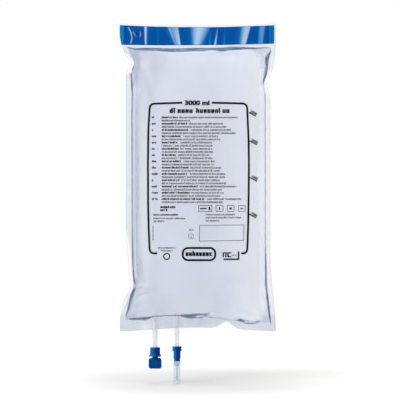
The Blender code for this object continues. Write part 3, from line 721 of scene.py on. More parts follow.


# Film and filling. Each stroke is its strength and then pixel x, pixel y and width of each point.

# Painted dark lines where the filling refracts along its welds and in its folds
DARK_REFRACTION_STROKES = (
    # Along the top weld
    (0.85, 126.6, 47.4, 0.8, 130.5, 48, 1.2, 134.5, 49, 1.2),
    (0.9, 135, 49.3, 1.2, 139, 49.2, 2.1, 143.6, 49.2, 2.8, 159.5, 49.5, 3.1),
    (0.95, 159.5, 49.5, 3.1, 165, 50, 3.4, 173.4, 50.2, 3.6, 186, 49.9, 3.3),
    (0.95, 186, 49.9, 3.3, 195, 49.5, 3.2, 204.5, 49.6, 3.4, 208, 49.2, 2.4),
    (1, 208, 49.2, 2.4, 213, 48.9, 2.4, 218, 49.2, 3.6, 221, 49.5, 4.2),
    (1, 221, 49.5, 4.2, 227.7, 48.7, 3.6, 233, 48.5, 3.4, 238.6, 48.4, 3.2),
    (0.95, 238.6, 48.4, 3.2, 244, 48.1, 2.8, 250, 48, 1.8, 256, 48.3, 1.5),
    (0.7, 256, 48.3, 1.4, 260.4, 48, 1.3, 264, 47.6, 0.9, 269.6, 47.2, 0.6),
    # Right, from the upper corner down
    (0.85, 271.8, 48.8, 0.4, 269.9, 52.7, 1.5, 268.4, 55.4, 2.6, 267, 58.1, 3.6),
    (0.8, 267, 58.1, 3.6, 266.7, 61, 3.4, 266.7, 65.1, 2.7, 266.1, 70.3, 3),
    (0.78, 266.1, 70.3, 3, 265.3, 75.4, 2.6, 264.4, 78.2, 1.9, 263.4, 81, 1.3, 263.2, 85, 0.6),
    (0.6, 265, 93.4, 1.1, 265.1, 106, 1.1, 265, 126.7, 1.1, 265.3, 160, 1.1),
    (0.62, 265.3, 160, 1.1, 265.3, 220, 1, 265.5, 250, 1.2, 265.9, 285, 1.5),
    (0.88, 265.6, 254, 1.4, 265.9, 285, 2),
    (0.9, 265.9, 285, 1.5, 267.6, 300, 2, 268.7, 309.6, 2, 269.8, 316.8, 1.5, 270.7, 323.6, 0.7),
    # Left, from the upper dent down
    (0.9, 133.7, 65.6, 0.9, 132.9, 67.6, 1.8, 131.9, 70, 1.3),
    (0.88, 130.9, 70.4, 1.3, 131.1, 76, 1.9, 131.5, 81.3, 1.8, 132.1, 86.6, 1.8),
    (0.88, 132.1, 86.6, 1.8, 132.4, 91.9, 1.5, 132.6, 95.4, 1.4),
    (0.7, 132.4, 97, 1, 132.3, 99.9, 1.4, 132.1, 108, 1.5, 132, 125, 1.5),
    (0.68, 132, 125, 1.5, 132.1, 160, 1.4, 132.3, 210, 1.4, 132.8, 255, 1.5),
    (0.88, 132.5, 236, 1.4, 132.8, 255, 1.6),
    (0.95, 132.8, 255, 1.5, 132.7, 267.3, 1.8, 133, 275.5, 2.1, 133.6, 279.6, 1.9, 135.2, 283.4, 1),
    (0.9, 135.3, 288.2, 1.2, 133.7, 290.9, 2.8, 132, 295, 3.2, 131.3, 298.6, 2.8),
    (0.8, 131.3, 298.6, 2.8, 129.9, 303.7, 2.3, 128.4, 308.8, 1.8, 126.4, 314, 1.5, 125.5, 316.8, 1),
    # Along the bottom weld
    (0.92, 129.3, 318.9, 0.7, 132.4, 319.2, 1.9, 137.5, 318.9, 2.4, 143.7, 318.8, 3.4),
    (0.95, 143.7, 318.8, 3.4, 147.8, 318.1, 2.8, 150.8, 317.4, 1.5, 155.5, 316.3, 1),
    (0.9, 155.5, 316.5, 1, 164.7, 315.7, 1, 175.8, 315.5, 0.9, 179.2, 315.9, 1.3),
    (0.95, 179.2, 315.9, 1.3, 183.3, 315.8, 2.6, 187.5, 316.3, 4.2, 191.7, 316.5, 4.4),
    (0.92, 191.7, 316, 4, 195.8, 314.9, 2.2, 200, 314.6, 1.6, 205, 314.6, 1.5, 209, 312.9, 1.1),
    (0.9, 191.7, 317.4, 2.6, 195.8, 317.5, 1.6, 197.6, 317.9, 1),
    (0.9, 198.5, 318, 1.4, 200.8, 317.8, 1.9, 203.8, 317, 1),
    (0.9, 204, 316, 1, 206.4, 315.8, 1.4, 208.6, 315.2, 1),
    (0.95, 209.4, 317.4, 1, 210.4, 317.4, 1.5, 211.2, 317.6, 0.9),
    (0.85, 212.8, 318.2, 1, 213.8, 319.2, 1.1),
    (0.93, 208.6, 322.9, 0.7, 212, 322.7, 1.6, 214.6, 322.5, 2.1, 219.4, 322.1, 1.3),
    (0.9, 219.4, 322.1, 1.3, 224.2, 321, 1, 227.4, 320.2, 0.4),
    (0.5, 229.5, 320.4, 0.3, 234.8, 320.4, 0.6),
    (0.95, 237, 320.2, 0.8, 238.6, 320.2, 2.4, 241, 320.3, 3.4, 243.4, 321.2, 2.6),
    (0.95, 243.4, 322.9, 1.4, 248, 323.4, 1.5, 252, 323.3, 1.4, 256.2, 323.2, 1.2),
    (0.85, 246.4, 320.2, 0.8, 247.8, 320.8, 1.2, 248, 321.6, 0.6),
    (0.8, 256.4, 320.4, 0.6, 256.7, 322.4, 0.8),
    (0.85, 258.4, 321.6, 1.2, 259.3, 321.8, 1.5),
    # Folds beside the lower left dent
    (0.5, 141.8, 279.8, 0.5, 143.4, 281, 0.9, 144.6, 282.2, 0.6),
    (0.45, 138.2, 288.5, 0.7, 141, 287.4, 1.1, 143.8, 285.8, 0.6),
    (0.3, 137.4, 291.8, 0.6, 139.4, 290.8, 0.8),
    (0.42, 136.6, 295.8, 0.8, 139.4, 294.9, 1, 142.4, 293.2, 0.6),
)
GLINT_STROKES = (
    (0.75, 133.2, 70.5, 0.8, 133.3, 76, 0.9, 133.8, 84, 0.9, 134.4, 92, 0.9, 134.7, 102, 0.8),
    (0.45, 134.7, 102, 0.8, 134.3, 120, 0.8, 134.5, 200, 0.7, 135, 254, 0.8),
    (0.6, 135, 254, 0.8, 135.1, 268, 1, 136, 278, 0.9),
    (0.35, 137, 284.6, 0.9, 139.5, 284.4, 1.4, 143, 283.8, 0.8),
    (0.4, 137.5, 292.6, 0.8, 140.4, 292, 1, 143, 291.2, 0.6),
    (0.4, 135.8, 301.5, 0.8, 138.6, 299.4, 1.3, 141.8, 297, 0.8),
    (0.45, 133, 304, 0.8, 132.2, 309, 1.4, 131, 313, 1),
    (0.5, 161, 52.6, 0.5, 175, 52.9, 0.7, 195, 52.5, 0.7, 207, 51.8, 0.6),
    (0.6, 207.5, 51, 0.5, 212, 51.2, 0.9, 216.5, 51.6, 0.6),
    (0.5, 224, 52, 0.5, 232, 51.4, 0.6, 243, 50.2, 0.5),
    (0.4, 264.3, 58, 0.6, 263.8, 64, 0.8, 263, 72, 0.7),
    (0.55, 270.4, 58.5, 0.7, 269.8, 64, 0.8, 269, 71, 0.8),
    (0.75, 209.8, 311.6, 0.8, 211.4, 313.6, 1.8, 213.6, 314.2, 1.2),
    (0.6, 195, 313, 0.5, 201, 312.6, 0.8, 207, 312.2, 0.7),
    (0.5, 196.8, 316.3, 0.7, 199.4, 316.2, 1),
    (0.5, 208.8, 319.4, 0.6, 213, 320.6, 0.9),
    (0.8, 249, 321.2, 0.9, 252.2, 321.2, 1.7, 255.4, 321.2, 0.8),
    (0.35, 238, 323.6, 0.4, 246, 325.4, 0.7, 256, 326.2, 0.5),
    (0.6, 131.6, 296, 0.4, 132.2, 295.4, 0.7),
    (0.35, 148.4, 322, 0.8, 150.8, 323.6, 2, 152.4, 324.6, 1.6),
    (0.85, 153.6, 319.4, 1, 153.7, 324, 1.9, 153.8, 329, 1.8),
    (0.7, 147.6, 328.4, 0.6, 150.4, 328.4, 1.3, 152, 328.4, 0.8),
    (0.5, 193.8, 326.4, 0.6, 195.6, 325.8, 1.6, 197.4, 325.4, 0.8),
)
SHADE_STROKES = (
    (0.35, 178.4, 318.6, 1.4, 178.2, 323, 2, 178, 327.6, 1.4),
    (0.22, 156, 319.6, 1.2, 156.6, 324, 1.6, 156.6, 328.6, 1.2),
    (0.35, 121.4, 330.2, 0.5, 140, 329.4, 0.6, 152, 329.2, 0.5),
    (0.4, 159, 328.9, 0.5, 168, 328.7, 0.7, 174, 328.4, 0.5),
    (0.4, 180, 328, 0.5, 187, 327.5, 0.7, 192, 327.2, 0.4),
)
STROKE_SOFTNESS = 0.45

# Spots: pixel x and y, reach across and down, and value. Here the value makes the painted shading lighter.
PAINTED_SHADING_SPOTS = (
    (141, 84, 7, 16, 0.06),
    (140, 98, 3.5, 14, -0.16),
    (166, 100, 9, 11, -0.12),
    (226, 53, 24, 3.6, -0.3),
    (212, 244, 26, 6, 0.14),
    (147, 74, 6, 14, 0.1),
    (155, 78, 10, 34, -0.1),
    (136.6, 190, 2.4, 100, -0.62),
    (144, 190, 4.5, 90, 0.34),
    (148, 262, 6, 30, 0.1),
    (140, 268, 3.4, 14, -0.5),
    (143, 285, 7, 4, 0.18),
    (148, 289, 8, 1.4, -0.2),
    (145, 293, 7, 1.2, -0.22),
    (141, 298, 6, 5, 0.16),
    (160, 308, 16, 10, -0.14),
    (222, 304, 14, 12, -0.13),
    (232, 290, 6, 16, -0.06),
    (262.6, 190, 4, 130, 0.45),
    (256, 90, 8, 26, 0.1),
    (262, 300, 5, 24, 0.1),
    (255, 180, 7, 60, 0.14),
    (200, 66, 60, 10, -0.05),
    (250, 312, 14, 5, -0.08),
    (190, 288, 46, 22, -0.05),
    (151, 283, 9, 24, -0.16),
    (206, 244, 24, 12, -0.11),
    (150, 74, 12, 26, -0.3),
)
# Painted shading across the filling: darker at the left, lighter at the right
PAINTED_SHADING_LEFT = 0.56
PAINTED_SHADING_MIDDLE = 0.66
PAINTED_SHADING_RIGHT = 1.25
FILLED_LEFT = 132.0  # pixel x of the filling's sides
FILLED_RIGHT = 268.0


def stroke_cover(strokes, px, py):
    """How strongly strokes cover places given in pixels, from 0 to 1."""
    cover = np.zeros_like(px)
    for strength, *numbers in strokes:
        points = list(zip(numbers[::3], numbers[1::3], numbers[2::3]))
        for (x0, y0, w0), (x1, y1, w1) in zip(points, points[1:]):
            along, gap = from_line(px, py, x0, y0, x1, y1)
            outside = gap - mix(w0, w1, along) / 2 + STROKE_SOFTNESS
            cover = np.maximum(cover, strength * (1.0 - smooth(outside / (2 * STROKE_SOFTNESS))))
    return cover


def with_spots(values, spots, px, py):
    """Values with soft round spots added."""
    return sum((v * hump(px - x, wide) * hump(py - y, high) for x, y, wide, high, v in spots), values)


def solution_tone(px, py):
    """Painted broad light and shade of the filled bag."""
    share = (px - FILLED_LEFT) / (FILLED_RIGHT - FILLED_LEFT)
    left = mix(PAINTED_SHADING_LEFT, PAINTED_SHADING_MIDDLE, smooth(share / 0.35))
    right = mix(PAINTED_SHADING_MIDDLE, PAINTED_SHADING_RIGHT, smooth((share - 0.5) / 0.5))
    return with_spots(np.where(share < 0.5, left, right), PAINTED_SHADING_SPOTS, px, py)


def make_solution():
    sides = []
    for facing in (-1, 1):
        points = sheet_points(rows(), columns(), facing)
        points[..., 1] = facing * np.maximum(np.abs(points[..., 1]) - CLEARANCE / 2, CLEARANCE / 4)
        sides.append(points)
    mesh = shell_mesh("solution_fill", *sides, -1)
    mirrored = np.concatenate([side.reshape(-1, 3) for side in sides])
    mirrored[:, 1] = -np.abs(mirrored[:, 1])
    px, py = pixels_of(mirrored)
    # Painted dark refraction lines and painted glints
    edge, glint = (stroke_cover(strokes, px, py) for strokes in (DARK_REFRACTION_STROKES, GLINT_STROKES))
    paint(mesh, edge=edge, glint=glint, tone=solution_tone(px, py))
    new_piece("solution_fill", mesh, solution_look(), replaces="solution")


HAZE_FILLED = 0.018  # cover of one face of a sheet; a hem has four of them
HAZE_HEADER = 0.112
HAZE_STRIP = 0.045  # above the strap
HAZE_LEFT = 0.110
HAZE_RIGHT = 0.076
HAZE_BOTTOM = 0.170
HAZE_OVER_TUBE = 0.150
HAZE_RIM = 0.060  # added at the cut edge, a painted darker line where the edge refracts
HEADER_HAZE_Z = -0.060  # where the header's haze starts, going up
HEADER_HAZE_RUN = 0.040
STRIP_HAZE_DROP = 0.004  # below the strap's top, where the strip's haze starts, going up
STRIP_HAZE_RUN = 0.002
BOTTOM_HAZE_RISE = 0.012  # above the bottom weld, where the bottom hem's haze starts, going down
BOTTOM_HAZE_RUN = 0.010
FILLED_FROM = 0.0006  # distance from the weld plane at which the filling starts to show
FILLED_RUN = 0.0012
TUBE_HAZE_RUN = 0.0010
BELOW_WELD = 316.0  # pixel y from which a glint lies on the film itself
FLAT = 0.0004  # nearest distance from the weld plane at which a sheet has its own direction
BARE_UP_TO = 0.0002  # distance from the weld plane up to which the painted dark refraction lines lie on the film
BARE_RUN = 0.0004
SHADE_SHARE = 0.6
HAZE_SPOTS = (
    (168, 323, 13, 9, 0.022),
    (205, 321, 24, 7, 0.034),
    (132, 56, 6, 8, 0.03),
    (127, 298, 5, 10, 0.045),
    (132, 314, 5, 5, -0.05),
    (272, 308, 4, 8, 0.02),
    (146, 327, 6, 3, -0.06),
    (252, 328, 16, 6, -0.02),
    (272, 56, 4, 9, -0.025),
    (200, 46.4, 90, 0.9, -0.06),
)


def film_haze(points, px, py):
    """Cover of one face of a sheet: thin over the filling, stronger in the hems."""
    z = points[..., 2]
    hem = np.where(points[..., 0] < 0.0, HAZE_LEFT, HAZE_RIGHT)
    hem = mix(hem, HAZE_HEADER, smooth((z - HEADER_HAZE_Z) / HEADER_HAZE_RUN))
    hem = mix(hem, HAZE_STRIP, smooth((z - STRAP_TOP + STRIP_HAZE_DROP) / STRIP_HAZE_RUN))
    low = smooth((BOTTOM_WELD + BOTTOM_HAZE_RISE - z) / BOTTOM_HAZE_RUN)
    hem = mix(hem, HAZE_BOTTOM, low)
    filled = smooth((np.abs(points[..., 1]) - FILLED_FROM) / FILLED_RUN)
    filled[len(header_rows()) + len(rows()) :] = 0.0  # the bottom hem, which swells over the tubes only
    haze = with_spots(mix(hem, HAZE_FILLED, filled), HAZE_SPOTS, px, py)
    for port in PORTS:
        over = np.abs(points[..., 0] - port.x) - port.diameter / 2 + 0.0006
        over = 1.0 - smooth(over / TUBE_HAZE_RUN)
        haze = mix(haze, HAZE_OVER_TUBE, over * low)
    for rim in (haze[0], haze[-1], haze[:, 0], haze[:, -1]):
        rim += HAZE_RIM
    return np.clip(haze, 0.005, 1.0)


def make_film(name, facing, look):
    points = film_points(facing)
    # Where a sheet lies flat on the other one, it stands off straight to its own side.
    flat = np.abs(points[..., 1]) < FLAT
    normal = np.where(flat[..., None], np.array((0.0, facing, 0.0)), grid_normals(points, facing))
    inner = points + normal * (CLEARANCE / 2)
    outer = points + normal * (CLEARANCE / 2 + FILM_THICKNESS)
    mesh = shell_mesh(name, outer, inner, facing)
    px, py = pixels_of(points)
    front = facing < 0
    bare = 1.0 - smooth((np.abs(points[..., 1]) - BARE_UP_TO) / BARE_RUN)
    below = smooth((py - BELOW_WELD) / 2.0) * front
    # Painted dark refraction lines on the bare film, and painted shade strokes on the front
    edge = stroke_cover(DARK_REFRACTION_STROKES, px, py) * bare
    edge = np.maximum(edge, SHADE_SHARE * stroke_cover(SHADE_STROKES, px, py)) * front
    glint = stroke_cover(GLINT_STROKES, px, py) * np.maximum(bare * front, below)
    paint(mesh, haze=film_haze(points, px, py), edge=edge, glint=glint)
    new_piece(name + "_fine", mesh, look, replaces=name)


# Strap. Each streak is a painted highlight: pixel x of its left and right sides at the strap's top and at
# its bottom, the share of the width over which each side fades, and its light at the top and at the bottom.

HIGHLIGHT_STREAKS = (
    (166.8, 178.9, 175.8, 181.1, 0.75, 0.14, 0.62, 0.95),
    (167.2, 171.6, 174.6, 178.6, 0.3, 0.6, 0.55, 0.3),
    (189.4, 212.4, 191.8, 202.4, 0.42, 0.58, 0.98, 0.98),
    (239.6, 251.2, 238.8, 246.2, 0.6, 0.16, 0.82, 0.95),
    (144, 147.2, 144.8, 146.8, 0.25, 0.35, 0.98, 0.85),
    (217.4, 218.2, 213.6, 216.2, 0.35, 0.25, 0, 1),
    (258.8, 265.6, 257.6, 263, 0.45, 0.3, 0.28, 0.22),
)
# Wider painted soft light around the highlights
SOFT_HIGHLIGHT_STREAKS = (
    (163.5, 174, 171.5, 180, 0.6, 0.3, 0.75, 0.8),
    (186, 212.6, 187.5, 206.6, 0.35, 0.35, 0.9, 0.9),
    (235, 251.5, 233.5, 246.5, 0.6, 0.1, 0.65, 0.8),
    (257.2, 266.4, 256.4, 264.2, 0.35, 0.3, 0.85, 0.95),
    (209.6, 211.2, 208.4, 211, 0.3, 0.3, 0, 1),
    (216.6, 219, 212.8, 217.2, 0.4, 0.4, 0.45, 1),
    (223.9, 225.9, 222.6, 225.8, 0.4, 0.4, 0.15, 0.95),
    (268.9, 271.5, 269.2, 271.6, 0.3, 0.4, 0.85, 0.4),
    (271.4, 273.8, 271.6, 273.9, 0.3, 0.3, 0.75, 0.55),
    (156.2, 159.2, 156.4, 159.4, 0.35, 0.35, 0.22, 0.28),
    (119, 124.4, 120, 124.8, 0.1, 0.3, 0.95, 0.8),
    (146.8, 151, 146.4, 149.6, 0.2, 0.7, 0.45, 0.3),
)
# Raised curved lines, also painted as highlights
CURVED_LINES = (
    (0.8, 128.2, 27.4, 0.5, 129.5, 29.6, 0.9, 130.8, 32.2, 1, 131.6, 36, 0.9, 131.9, 39.1, 0.9),
    (0.75, 131.9, 39.1, 0.9, 131.2, 41.3, 0.9, 130.6, 43, 0.8),
    (0.5, 133, 31.8, 0.7, 134.3, 33.6, 0.8, 135.6, 36.2, 0.5),
    (0.6, 140.2, 31.6, 0.4, 140.5, 34.4, 0.8, 139.9, 37.2, 0.4),
)
RING_PLACE = (137.7, 34.1)
RING_RADIUS = 2.1
STRAP_STEP = 0.0009
LINE_INSET = 0.0035  # from the strap's edges to the fine grooves along them
LINE_HEIGHT = 0.00035
RING_HEIGHT = 0.00025
GROOVE_DEPTH = 0.00008
GROOVE_WIDTH = 0.00040
SHINE_FADE = 0.0016  # from the strap's edges inwards
LEFT_FOLD = 125.3  # pixel x of the folds near the strap's ends, which get painted shade
RIGHT_FOLD = 267.9


def streak_light(streaks, px, down):
    """How much soft-edged upright streaks light up each place."""
    light = np.zeros_like(px)
    for top_left, top_right, left, right, fade_in, fade_out, light_top, light_bottom in streaks:
        left, right = mix(top_left, left, down), mix(top_right, right, down)
        wide = right - left
        rise = smooth((px - left) / (wide * fade_in))
        fall = smooth((right - px) / (wide * fade_out))
        light = np.maximum(light, mix(light_top, light_bottom, down) * rise * fall)
    return light


def strap_lift(x, z):
    """The strap's waves, as the CAD source shapes them."""
    from_end = np.minimum(x - STRAP_LEFT, STRAP_RIGHT - x) - STRAP_WELD
    waves = (height * hump(x - place - slant * z, spread) for place, height, spread, slant in STRAP_BULGES)
    return sum(waves, np.zeros_like(x)) * smooth(from_end / STRAP_RUN_OUT)


def make_strap():
    seat = 1.5 * CLEARANCE + FILM_THICKNESS
    height = STRAP_TOP - STRAP_BOTTOM
    down = graded([(0.0, 1.0, STRAP_STEP / height)])
    x, down = np.meshgrid(graded([(STRAP_LEFT, STRAP_RIGHT, STRAP_STEP)]), down)
    z = mix(STRAP_TOP, STRAP_BOTTOM + STRAP_TAPER * x, down)
    lean = np.where(x < 0.0, side_edge(-1, z), side_edge(1, z)) / (FILM_WIDTH / 2)
    place = np.stack((x * lean, np.full_like(x, -seat), shifted(x, z)), axis=-1)
    px, py = pixels_of(place)
    lines = stroke_cover(CURVED_LINES, px, py)
    ring = np.hypot(px - RING_PLACE[0], py - RING_PLACE[1])
    from_edge = height * np.minimum(down, 1.0 - down)
    groove = hump(from_edge - LINE_INSET, GROOVE_WIDTH)
    end = np.minimum(x - STRAP_LEFT, STRAP_RIGHT - x)
    lift = strap_lift(x, z) + LINE_HEIGHT * lines + RING_HEIGHT * hump(ring - RING_RADIUS, 0.55)
    place[..., 1] -= np.maximum(lift - GROOVE_DEPTH * groove, 0.0)
    front = place.copy()
    front[..., 1] -= STRAP_THICKNESS
    mesh = shell_mesh("hanger_strap_fine", front, place, -1)
    inside = smooth(from_edge / SHINE_FADE)
    # Painted highlights of streaks and curved lines, dimmer at the edges; painted soft light round them
    sheen = np.maximum(streak_light(HIGHLIGHT_STREAKS, px, down), lines) * mix(0.35, 1.0, inside)
    # Painted soft light also runs along the grooves
    soft = np.maximum(streak_light(SOFT_HIGHLIGHT_STREAKS, px, down) * mix(0.6, 1.0, inside), 0.22 * groove)
    # Darker at the ring; painted shade along the edges, in the folds near the ends and at the ends
    shade = 0.75 * hump(ring, 1.7) + 0.10 * hump(from_edge, 0.0011) + 0.40 * hump(px - LEFT_FOLD, 0.9)
    shade = shade + 0.45 * hump(px - RIGHT_FOLD, 0.9) + 0.25 * hump(end, 0.0008)
    sheen, soft, shade = np.clip(sheen, 0.0, 1.0), np.clip(soft, 0.0, 1.0), np.clip(shade, 0.0, 0.85)
    paint(mesh, sheen=sheen, soft=soft, shade=shade)
    new_piece("hanger_strap_fine", mesh, strap_look(), replaces="hanger_strap")


# Print on the front film

INK_LIFT = 0.00006
INK_THICKNESS = 0.00004
FONT_DIGIT = 0.70  # height of a digit in Blender's font, as a share of its size
ASCENDER = 1.4
# Left and right stems, the same with ascenders, and top, middle and bottom bars
LETTER_FORMS = "LRT LRTB LRB ART LDTB LTMB LTB A LRTM".split()


class Ink:
    """Flat marks gathered in pixels and laid on the front film as one piece."""

    def __init__(self):
        self.points = []
        self.faces = []

    def quad(self, corners):
        start = len(self.points)
        self.points += corners
        self.faces.append(tuple(range(start, start + 4)))

    def box(self, x0, y0, x1, y1, step=3.0):
        """Upright bar, cut into lengths short enough to follow the film."""
        xs, ys = (
            [mix(low, high, i / count) for i in range(count + 1)]
            for low, high, count in ((x0, x1, cuts(x1 - x0, step)), (y0, y1, cuts(y1 - y0, step)))
        )
        for left, right in zip(xs, xs[1:]):
            for high, low in zip(ys, ys[1:]):
                self.quad([(left, low), (right, low), (right, high), (left, high)])

    def path(self, points, width, closed=False):
        """Line of even width through points, with mitred corners."""
        points = [Vector(p) for p in points]
        count = len(points)
        left, right = [], []
        for i, point in enumerate(points):
            before = points[i - 1] if i > 0 or closed else point
            after = points[(i + 1) % count] if i < count - 1 or closed else point
            first = (point - before).normalized() if point != before else (after - point).normalized()
            second = (after - point).normalized() if after != point else first
            way = (first + second).normalized()
            side = Vector((-way.y, way.x))
            half = width / 2 / max(side.dot(Vector((-first.y, first.x))), 0.5)
            left.append(tuple(point + side * half))
            right.append(tuple(point - side * half))
        for i in range(count if closed else count - 1):
            j = (i + 1) % count
            self.quad([left[i], right[i], right[j], left[j]])

    def outline(self, points, width):
        """Closed line, cut into short lengths."""
        self.path(divided(points + points[:1])[:-1], width, closed=True)

    def letter(self, form, x, base, size, wide, weight):
        """Letter-like mark from the stems and bars named in the form. Widths are shares of the size."""
        end = wide - weight if "R" in form or "D" in form else wide
        bar = 0.42 * weight
        parts = {
            "L": (0.0, weight, 0.0, 1.0),
            "R": (wide - weight, wide, 0.0, 1.0),
            "A": (0.0, weight, 0.0, ASCENDER),
            "D": (wide - weight, wide, 0.0, ASCENDER),
            "T": (weight, end, 1.0 - 2 * bar, 1.0),
            "M": (weight, end, 0.5 - bar, 0.5 + bar),
            "B": (weight, end, 0.0, 2 * bar),
        }
        for part in form:
            x0, x1, y0, y1 = (size * share for share in parts[part])
            self.quad([(x + x0, base - y0), (x + x1, base - y0), (x + x1, base - y1), (x + x0, base - y1)])

    def words(self, start, end, base, size, heavy, rng):
        """Row of word-like marks that spells nothing."""
        wide, weight, gap = (0.80, 0.40, 0.16) if heavy else (0.74, 0.27, 0.22)
        x = start
        while x < end - size * wide:
            for _ in range(rng.randint(3, 9)):
                if x + size * wide > end:
                    break
                self.letter(rng.choice(LETTER_FORMS), x, base, size, wide, weight)
                x += size * (wide + gap)
            x += size * 0.3

    def title(self, forms, start, end, base, size, weight):
        """Evenly spread letter-like marks that fill a width."""
        forms = forms.split()
        pitch = (end - start) / len(forms)
        for i, form in enumerate(forms):
            self.letter(form, start + i * pitch, base, size, 0.86 * pitch / size, weight)

    def glyphs(self, text, place, height, turn=0.0, heavy=0.0, stretch=1.0):
        """Real figures from Blender's own font. The place is the start of the baseline."""
        curve = bpy.data.curves.new("figures", "FONT")
        curve.body = text
        curve.offset = heavy
        thing = new_object("figures", curve)
        bpy.context.view_layer.update()
        mesh = thing.to_mesh()
        scale = height / FONT_DIGIT
        start = len(self.points)
        c, s = math.cos(turn), math.sin(turn)
        for vert in mesh.vertices:
            x, y = vert.co.x * scale * stretch, vert.co.y * scale
            self.points.append((place[0] + x * c + y * s, place[1] + x * s - y * c))
        for face in mesh.polygons:
            self.faces.append(tuple(start + i for i in face.vertices))
        thing.to_mesh_clear()
        bpy.data.objects.remove(thing, do_unlink=True)
        bpy.data.curves.remove(curve)

    def lay(self, name, look):
        mesh = mesh_of(name, on_film(self.points, INK_LIFT), self.faces)
        bm = bmesh.new()
        bm.from_mesh(mesh)
        bm.normal_update()
        bmesh.ops.reverse_faces(bm, faces=[face for face in bm.faces if face.normal.y > 0.0])
        bmesh.ops.remove_doubles(bm, verts=bm.verts, dist=0.000002)
        bm.to_mesh(mesh)
        bm.free()
        thick = new_piece(name, mesh, look).modifiers.new("thick", "SOLIDIFY")
        thick.thickness = INK_THICKNESS
        thick.offset = 1.0


def cuts(length, step):
    """How many pieces no longer than the step make up a length."""
    return max(int(math.ceil(length / step)), 1)


def rounded(points, radius, steps=6):
    """Path through points with its inner corners rounded."""
    out = [points[0]]
    for before, point, after in zip(points, points[1:], points[2:]):
        point = Vector(point)
        into = (Vector(before) - point).normalized() * radius
        away = (Vector(after) - point).normalized() * radius
        for i in range(steps + 1):
            t = i / steps
            spot = (point + into) * (1 - t) ** 2 + point * 2 * t * (1 - t) + (point + away) * t**2
            out.append(tuple(spot))
    return out + [points[-1]]


def divided(points, step=3.0):
    """Path with long legs cut into shorter ones."""
    out = [points[0]]
    for before, point in zip(points, points[1:]):
        count = cuts((Vector(point) - Vector(before)).length, step)
        out += [tuple(Vector(before).lerp(Vector(point), (i + 1) / count)) for i in range(count)]
    return out


def box_path(x0, y0, x1, y1):
    return [(x0, y0), (x1, y0), (x1, y1), (x0, y1)]


def arc_path(cx, cy, radius, start, steps):
    """Points of a quarter of a circle from a start in degrees."""
    angles = (math.radians(start + 90.0 * i / steps) for i in range(steps + 1))
    return [(cx + radius * math.cos(a), cy + radius * math.sin(a)) for a in angles]


def rounded_box(x0, y0, x1, y1, radius, steps=8):
    """Closed path round a box with round corners."""
    right, left, low, high = x1 - radius, x0 + radius, y0 + radius, y1 - radius
    corners = ((right, low, -90.0), (right, high, 0.0), (left, high, 90.0), (left, low, 180.0))
    return [point for cx, cy, start in corners for point in arc_path(cx, cy, radius, start, steps)]


TEXT_TOP = 118.3
TEXT_PITCH = 3.14
CODE_X = 151.9
TEXT_X = 161.7
ENTRIES = (  # pixel x where the code, the bold words, the rest of the line and the next line end
    (155.5, 177.8, 237.9, 190),
    (157.2, 187.4, 223.7, 226),
    (154.6, 189.7, 232, 236),
    (156.6, 182, 219, 221.4),
    (157.2, 179, 212.6, 213.4),
    (155.2, 179, 212.6, 213.4),
    (155, 176.7, 210.7, 213.4),
    (157.8, 182, 215.7, 214.5),
    (156.4, 188.9, 222.6, 220.3),
    (159, 188.5, 225.3, 225.6),
    (154.2, 179.7, 220.3, 226.8),
    (159, 198.5, 237, 223),
    (159, 189.7, 224.9, 221.4),
    (159, 205.7, 242, 223.3),
)
FRAME_WIDTH = 1.95
FRAME = (  # pixel x and y of each point, for its left and right halves
    (182.3, 102.7, 149.9, 103.8, 148.3, 130, 147.9, 165, 148.1, 205, 148.8, 232, 149.7, 253.4, 157.2, 253.4),
    (211.9, 102.7, 247, 103.6, 248.6, 140, 249, 165, 248.7, 190, 248.2, 225, 247.2, 253.4, 241.2, 253.4),
)
RING = (166.7, 256.4, 3.0)  # pixel x and y, and radius
RING_STEPS = 20
SCALE_MARKS = (  # figures, and pixel x and y of the mark's start
    ("2500", 248.8, 112.4),
    ("2000", 249.7, 141.0),
    ("1500", 249.8, 177.4),
    ("1000", 249.1, 214.1),
)
SCALE_SLANT = math.radians(28.0)


